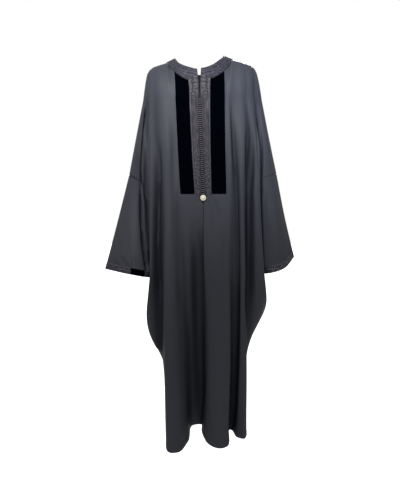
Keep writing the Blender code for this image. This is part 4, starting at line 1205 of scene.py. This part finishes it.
def placket_edges(fronts, z):
    """Points and outward directions of both lips of the placket, the left one first."""
    rows = row_at(np.atleast_1d(z))
    return [front.at(rows, np.full(len(rows), SLIT_PLACE)) for front in fronts]


def placket_frame(fronts, z):
    """Middle, outward direction and direction to the right of the placket at height z."""
    (left, left_way), (right, right_way) = [(p[0], w[0]) for p, w in placket_edges(fronts, z)]
    right_of = (right - left) / np.linalg.norm(right - left)
    out = left_way + right_way
    out -= right_of * (out @ right_of)
    return (left + right) / 2, out / np.linalg.norm(out), right_of


def ring_faces(start, rings, sides):
    """Faces between neighbouring rings of points, which are numbered from start."""
    faces = []
    for ring in range(rings - 1):
        near, far = start + ring * sides, start + (ring + 1) * sides
        for k in range(sides):
            n = (k + 1) % sides
            faces.append((near + k, near + n, far + n, far + k))
    return faces


def knot_points(middle, out, right):
    """Points of one knot: a rounded bar with blunt ends, ring by ring."""
    low = np.cross(out, right)
    points = []
    for ring in np.linspace(0.0, math.pi, KNOT_RINGS):
        reach = math.copysign(abs(math.cos(ring)) ** KNOT_BLUNT, math.cos(ring))
        size = math.sin(ring) ** KNOT_BLUNT
        for turn in np.linspace(0.0, 2 * math.pi, KNOT_SIDES, endpoint=False):
            deep, tall = KNOT_DEEP * size * math.cos(turn), KNOT_TALL * size * math.sin(turn)
            points.append(middle + right * KNOT_HALF * reach + out * deep + low * tall)
    return points


def knot_row(fronts, material):
    """The knotted buttons of the placket, one rounded bar for each."""
    points, faces = [], []
    for z in np.linspace(KNOT_FIRST_Z, KNOT_LAST_Z, KNOT_COUNT):
        middle, out, right = placket_frame(fronts, z)
        faces += ring_faces(len(points), KNOT_RINGS, KNOT_SIDES)
        points += knot_points(middle + out * (KNOT_LIFT + KNOT_DEEP), out, right)
    mesh = bpy.data.meshes.new("knot_row")
    mesh.from_pydata([tuple(map(float, point)) for point in points], [], faces)
    joined = bmesh.new()
    joined.from_mesh(mesh)
    bmesh.ops.remove_doubles(joined, verts=joined.verts, dist=TINY)
    bmesh.ops.recalc_face_normals(joined, faces=joined.faces)
    joined.to_mesh(mesh)
    joined.free()
    return piece_from("placket_knots", mesh, material)


def knot_shadow_bed(fronts, material):
    """A dark strip of painted shadow behind the knots, between the two bands of the placket."""
    heights = np.linspace(BED_TOP_Z, BED_FOOT_Z, PLACKET_STEPS)
    share = np.linspace(0.0, 1.0, BED_ACROSS)[:, None]
    edges = placket_edges(fronts, heights)
    (left, left_way), (right, right_way) = [(p[:, None], w[:, None]) for p, w in edges]
    points = left * (1 - share) + right * share
    ways = left_way * (1 - share) + right_way * share
    middle = (left + right) / 2
    narrow = (points - middle) * BED_SHARE + middle
    low = BED_LIFT + BED_BOW * rounded(share, 2)
    cells = np.ones((len(heights) - 1, BED_ACROSS - 1), bool)
    up, over = np.meshgrid(heights, share * BED_WIDE, indexing="ij")
    return closed_mesh("knot_shadow_bed", narrow + ways * (low + BED_THICK), narrow + ways * low, cells,
                       False, np.stack([over, up], axis=-1), material)


def round_button(material):
    """The smooth dome button with a turned rim, on the point of the placket."""
    x, depth = centre_at(BUTTON_Z)
    base = -(depth + BUTTON_LIFT)
    points = []
    for radius, height in BUTTON_PROFILE:
        for k in range(BUTTON_SIDES):
            turn = 2 * math.pi * k / BUTTON_SIDES
            points.append((x + BUTTON_RADIUS * radius * math.cos(turn),
                           base - BUTTON_HEIGHT * height,
                           BUTTON_Z + BUTTON_RADIUS * radius * math.sin(turn)))
    faces = ring_faces(0, len(BUTTON_PROFILE), BUTTON_SIDES)
    faces.append(tuple(range(BUTTON_SIDES))[::-1])
    faces.append(tuple(range(len(points) - BUTTON_SIDES, len(points))))
    mesh = bpy.data.meshes.new("placket_button")
    mesh.from_pydata(points, [], faces)
    return piece_from("placket_button", mesh, material)


def opaque(colour):
    """A colour with its alpha. The output of a node stays as it is."""
    return (*colour, 1.0) if isinstance(colour, tuple) else colour


class Look:
    """Builds one Principled material from procedural nodes."""

    def __init__(self, name, finish):
        self.material = bpy.data.materials.new(name)
        self.material.use_nodes = True
        self.tree = self.material.node_tree
        self.shader = self.tree.nodes["Principled BSDF"]
        self.uv = self.add("UVMap").outputs["UV"]
        self.place = self.add("TexCoord").outputs["Object"]
        roughness, specular = FINISHES[finish]
        self.set(("Roughness", roughness), ("Specular IOR Level", specular))

    def add(self, kind):
        """Adds a node."""
        return self.tree.nodes.new("ShaderNode" + kind)

    def feed(self, node, *inputs):
        """Gives a node its inputs. Each is a socket with a number, a colour or an output."""
        for socket, value in inputs:
            if isinstance(value, bpy.types.NodeSocket):
                self.tree.links.new(value, node.inputs[socket])
            else:
                node.inputs[socket].default_value = value

    def set(self, *inputs):
        """Gives the shader its inputs."""
        self.feed(self.shader, *inputs)

    def stretched(self, source, stretch):
        """Texture coordinates multiplied in each direction."""
        node = self.add("VectorMath")
        node.operation = "MULTIPLY"
        self.feed(node, (0, source), (1, stretch))
        return node.outputs["Vector"]

    def cloud(self, source, scale, stretch, detail):
        """Cloudy variation from 0 to 1."""
        node = self.add("TexNoise")
        self.feed(node, ("Vector", self.stretched(source, stretch)), ("Scale", scale),
                  ("Detail", detail))
        return node.outputs["Fac"]

    def stripes(self, source, scale, stretch, direction, wobble):
        """Parallel lines from 0 to 1."""
        node = self.add("TexWave")
        node.bands_direction = direction
        self.feed(node, ("Vector", self.stretched(source, stretch)), ("Scale", scale),
                  ("Distortion", wobble), ("Detail", STRIPE_DETAIL))
        return node.outputs["Fac"]

    def mark(self, name):
        """A number that the mesh keeps at each point."""
        node = self.add("Attribute")
        node.attribute_name = name
        return node.outputs["Fac"]

    def calculate(self, operation, first, second=0.0):
        """One step of arithmetic on outputs or numbers."""
        node = self.add("Math")
        node.operation = operation
        self.feed(node, (0, first), (1, second))
        return node.outputs["Value"]

    def part(self, source, axis):
        """The x or y of a coordinate."""
        node = self.add("SeparateXYZ")
        self.feed(node, (0, source))
        return node.outputs[axis]

    def ramp(self, source, stops):
        """A value read between two stops of (input, output)."""
        node = self.add("MapRange")
        node.interpolation_type = "SMOOTHSTEP"
        (low, at_low), (high, at_high) = stops
        self.feed(node, ("Value", source), ("From Min", low), ("To Min", at_low),
                  ("From Max", high), ("To Max", at_high))
        return node.outputs["Result"]

    def line(self, distance, at, width):
        """A soft line, 1 at its middle and 0 beyond its width."""
        gap = self.calculate("ABSOLUTE", self.calculate("SUBTRACT", distance, at))
        return self.ramp(gap, ((0.0, 1.0), (width, 0.0)))

    def blend(self, share, first, second):
        """A colour between two colours or colour outputs."""
        node = self.add("Mix")
        node.data_type = "RGBA"
        self.feed(node, (0, share), (6, opaque(first)), (7, opaque(second)))
        return node.outputs[2]

    def sheen(self, weight, roughness, tint):
        """Adds the soft nap or lustre of fibres."""
        self.set(("Sheen Weight", weight), ("Sheen Roughness", roughness),
                   ("Sheen Tint", opaque(tint)))

    def bump(self, *layers):
        """Adds bump from pairs of a height output and the name of its bump."""
        before = None
        for height, name in layers:
            strength, metres = BUMPS[name]
            node = self.add("Bump")
            self.feed(node, ("Strength", strength), ("Distance", metres), ("Height", height))
            if before is not None:
                self.feed(node, ("Normal", before))
            before = node.outputs["Normal"]
        self.set(("Normal", before))


def cloth_look():
    """Satin-backed crepe: dark grey with a fine weave, a sewn hem and painted shade in folds."""
    look = Look("crepe", "crepe")
    cloud = look.cloud(look.place, *CLOUDS["cloth"])
    slub = look.cloud(look.uv, *CLOUDS["slub"])
    seam = look.line(look.part(look.uv, "Y"), HEM_STITCH, STITCH_WIDE)
    dash = look.ramp(look.stripes(look.uv, *STRIPES["stitch"]), STITCH_DASH)
    stitch = look.calculate("MULTIPLY", seam, dash)
    base = look.blend(cloud, CLOTH_DARK, CLOTH_PALE)
    base = look.blend(look.calculate("MULTIPLY", slub, SLUB_SHARE), base, CLOTH_SLUB)
    # Painted shade: darker colour in the folds, seams, slit and inside
    base = look.blend(look.mark("fold"), base, PAINTED_SHADE_COLOUR)
    look.set(("Base Color", look.blend(stitch, base, STITCH_COLOUR)),
               ("Roughness", look.ramp(cloud, CLOTH_ROUGH)))
    weft, warp = [look.stripes(look.uv, *STRIPES[name]) for name in ("weft", "warp")]
    look.bump((look.calculate("ADD", weft, warp), "weave"), (slub, "slub"),
              (look.calculate("SUBTRACT", stitch, seam), "stitch"))
    return look.material


def braid_look(name, lines, pale, dark, slope, rib_share):
    """Flat silk braid: cross ribs, running lines, mottled thread and painted shade on cuffs."""
    look = Look(name, "braid")
    over = look.part(look.uv, "X")
    mottle = look.cloud(look.uv, *CLOUDS["mottle"])
    ribs = look.stripes(look.uv, *RIBS, slope, RIB_WOBBLE)
    cross = look.stripes(look.uv, *STRIPES["cross"])
    base = look.blend(look.ramp(mottle, MOTTLE_STEP), dark, pale)
    base = look.blend(look.calculate("MULTIPLY", ribs, rib_share), base, dark)
    base = look.blend(look.calculate("MULTIPLY", cross, CROSS_SHARE), base, dark)
    sunk = None
    for at, width, colour in lines:
        share = look.line(over, at, width)
        base = look.blend(look.calculate("MULTIPLY", share, LINE_SHARE), base, colour)
        sunk = share if sunk is None else look.calculate("ADD", sunk, share)
    # Painted shade on the cuff bands, strongest beside the body
    look.set(("Base Color", look.blend(look.mark("fold"), base, PAINTED_SHADE_COLOUR)))
    look.sheen(*BRAID_SHEEN)
    look.bump((look.calculate("ADD", ribs, cross), "ribs"), (mottle, "mottle"), (sunk, "piping"))
    return look.material


def velvet_look():
    """Near-black velvet with a short upright nap."""
    look = Look("velvet", "velvet")
    nap = look.cloud(look.place, *CLOUDS["nap"])
    brushed = look.cloud(look.place, *CLOUDS["brushed"])
    look.set(("Base Color", look.blend(brushed, VELVET_DARK, VELVET_PALE)))
    look.sheen(*VELVET_SHEEN)
    look.bump((nap, "nap"), (brushed, "brushed"))
    return look.material


def knot_look(name, finish, pale, dark):
    """Knotted silk cord, wound across, and the painted shadow strip behind the knots."""
    look = Look(name, finish)
    wound = look.stripes(look.place, *STRIPES["wound"])
    mottle = look.cloud(look.place, *CLOUDS["cord"])
    look.set(("Base Color", look.blend(look.calculate("MULTIPLY", wound, mottle), dark, pale)))
    look.bump((wound, "wound"), (mottle, "cord"))
    return look.material


def button_look():
    """Pale polished button, a little worn."""
    look = Look("button", "button")
    worn = look.cloud(look.place, *CLOUDS["worn"])
    look.set(("Base Color", look.blend(worn, BUTTON_DARK, BUTTON_PALE)),
               ("Roughness", look.ramp(worn, BUTTON_ROUGH)))
    look.bump((worn, "worn"))
    return look.material


def add_piece(piece, slot, *nodes):
    """Ties a piece to the body and hides the solids that it stands for."""
    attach(piece, "root")
    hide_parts(*nodes)
    return piece


def build_side(name, side, halves, looks):
    """Front, sleeve and trims of one side. Gives the front's surface and each sheet's trims."""
    plain = halves[side.sign, False]
    front = settle_panel(plain, side.side_line, "front")
    sleeve = settle_sleeve(sleeve_cloth(plain, halves[side.sign, True], side), name)
    first, last = CUFF_VELVET[name]
    around = first + sleeve.places[-1]
    body = cloth_piece(f"cloth_front_{name}", front, looks["crepe"])
    arm = cloth_piece(f"cloth_sleeve_{name}", sleeve, looks["crepe"])
    band = collar_braid(f"collar_band_{name}", front, len(side.neck) - 1, looks["collar"])
    strip = placket_braid(f"placket_band_{name}", front, looks["placket"])
    panel = velvet_panel(f"velvet_panel_{name}", front, looks["velvet"])
    ring = cuff_strip(f"cuff_band_{name}", sleeve, last, around, True, looks["cuff"],
                      f"{name}_cuff")
    insert = cuff_strip(f"cuff_insert_{name}", sleeve, first, last, False, looks["velvet"])
    for piece, slot, node in (
        (body, "cloth", "front"),
        (arm, "cloth", "sleeve"),
        (band, "braid", "braid"),
        (strip, "braid", "braid"),
        (panel, "velvet", "velvet"),
        (ring, "braid", "cuff_braid"),
        (insert, "velvet", "cuff_velvet"),
    ):
        add_piece(piece, slot, f"{node}_{name}")
    return front, [(body, [band, strip, panel]), (arm, [ring, insert])]


def build_garment():
    """Every piece of the garment, each on its solid's form."""
    looks = {"crepe": cloth_look(), "velvet": velvet_look()}
    for name, row in BRAIDS.items():
        looks[name] = braid_look(f"{name}_braid", *row)
    rows = row_numbers()
    halves = {}
    for side in (LEFT, RIGHT):
        for back in (False, True):
            halves[side.sign, back] = panel_cloth(Panel(side, back), rows)
    fronts, sheets = [], []
    for name, side in (("left", LEFT), ("right", RIGHT)):
        front, dressed = build_side(name, side, halves, looks)
        fronts.append(front)
        sheets += dressed
    rear = settle_panel(joined_back(halves[-1, True], halves[1, True]), len(BACK) + 2, "back")
    back = add_piece(cloth_piece("cloth_back", rear, looks["crepe"]), "cloth", "back")
    neck = collar_braid("collar_band_back", rear, len(NECK_BACK), looks["collar"], mitred=False)
    sheets.append((back, [add_piece(neck, "braid", "braid_neck_back")]))
    cord = knot_look("knot_cord", "cord", KNOT_PALE, KNOT_DARK)
    knots = add_piece(knot_row(fronts, cord), "knot", "knot_row")
    # Painted shadow: a near-black strip behind the knots, seen in the gaps between them
    shadow_bed_look = knot_look("knot_shadow_bed", "bed", SHADOW_BED_PALE, SHADOW_BED_DARK)
    bed = add_piece(knot_shadow_bed(fronts, shadow_bed_look), "knot", "knot_row")
    button = add_piece(round_button(button_look()), "button", "front_button")
    sheets[0][1].extend([knots, bed, button])


def add_floor():
    """A plain pale floor below the hem."""
    bpy.ops.mesh.primitive_plane_add(size=FLOOR_SIZE, location=(0.0, 0.0, FLOOR_Z))
    floor = bpy.context.object
    floor.name = "studio_floor"
    look = Look("studio_floor", "floor")
    look.set(("Base Color", opaque(FLOOR_COLOUR)), ("Emission Color", WHITE),
               ("Emission Strength", FLOOR_GLOW))
    floor.data.materials.append(look.material)
    floor.visible_diffuse = False
    floor.visible_glossy = False


def add_light(name, kind, place, aim, size, cone, strength, colour):
    """A soft lamp that points at a place on the garment."""
    lamp = bpy.data.lights.new(name, kind)
    lamp.energy = strength
    lamp.color = colour
    if kind == "SUN":
        lamp.angle = size
    else:
        lamp.shadow_soft_size = size
        lamp.spot_size = math.radians(cone)
        lamp.spot_blend = 1.0
    thing = bpy.data.objects.new(name, lamp)
    thing.location = place
    way = Vector(aim) - Vector(place)
    thing.rotation_euler = way.to_track_quat("-Z", "Y").to_euler()
    bpy.context.scene.collection.objects.link(thing)


def add_camera():
    """The camera at the photo's place, looking a little down."""
    data = bpy.data.cameras.new("camera")
    data.lens = CAMERA_LENS
    data.sensor_width = CAMERA_SENSOR
    camera = bpy.data.objects.new("camera", data)
    camera.location = CAMERA_PLACE
    camera.rotation_euler = (math.radians(90.0 - CAMERA_TILT), 0.0, 0.0)
    bpy.context.scene.collection.objects.link(camera)
    bpy.context.scene.camera = camera


def set_world():
    """An even white surround, whose light on the garment is softer than what the camera sees."""
    world = bpy.data.worlds.new("studio")
    world.use_nodes = True
    tree = world.node_tree
    surround = tree.nodes["Background"]
    surround.inputs["Color"].default_value = WHITE
    seen = tree.nodes.new("ShaderNodeLightPath")
    level = tree.nodes.new("ShaderNodeMapRange")
    level.inputs["To Min"].default_value = WORLD_FILL
    level.inputs["To Max"].default_value = WORLD_SEEN
    tree.links.new(seen.outputs["Is Camera Ray"], level.inputs["Value"])
    tree.links.new(level.outputs["Result"], surround.inputs["Strength"])
    bpy.context.scene.world = world
    bpy.context.scene.view_settings.view_transform = "Standard"


build_garment()
add_floor()
for lamp in LAMPS:
    add_light(*lamp)
add_camera()
set_world()
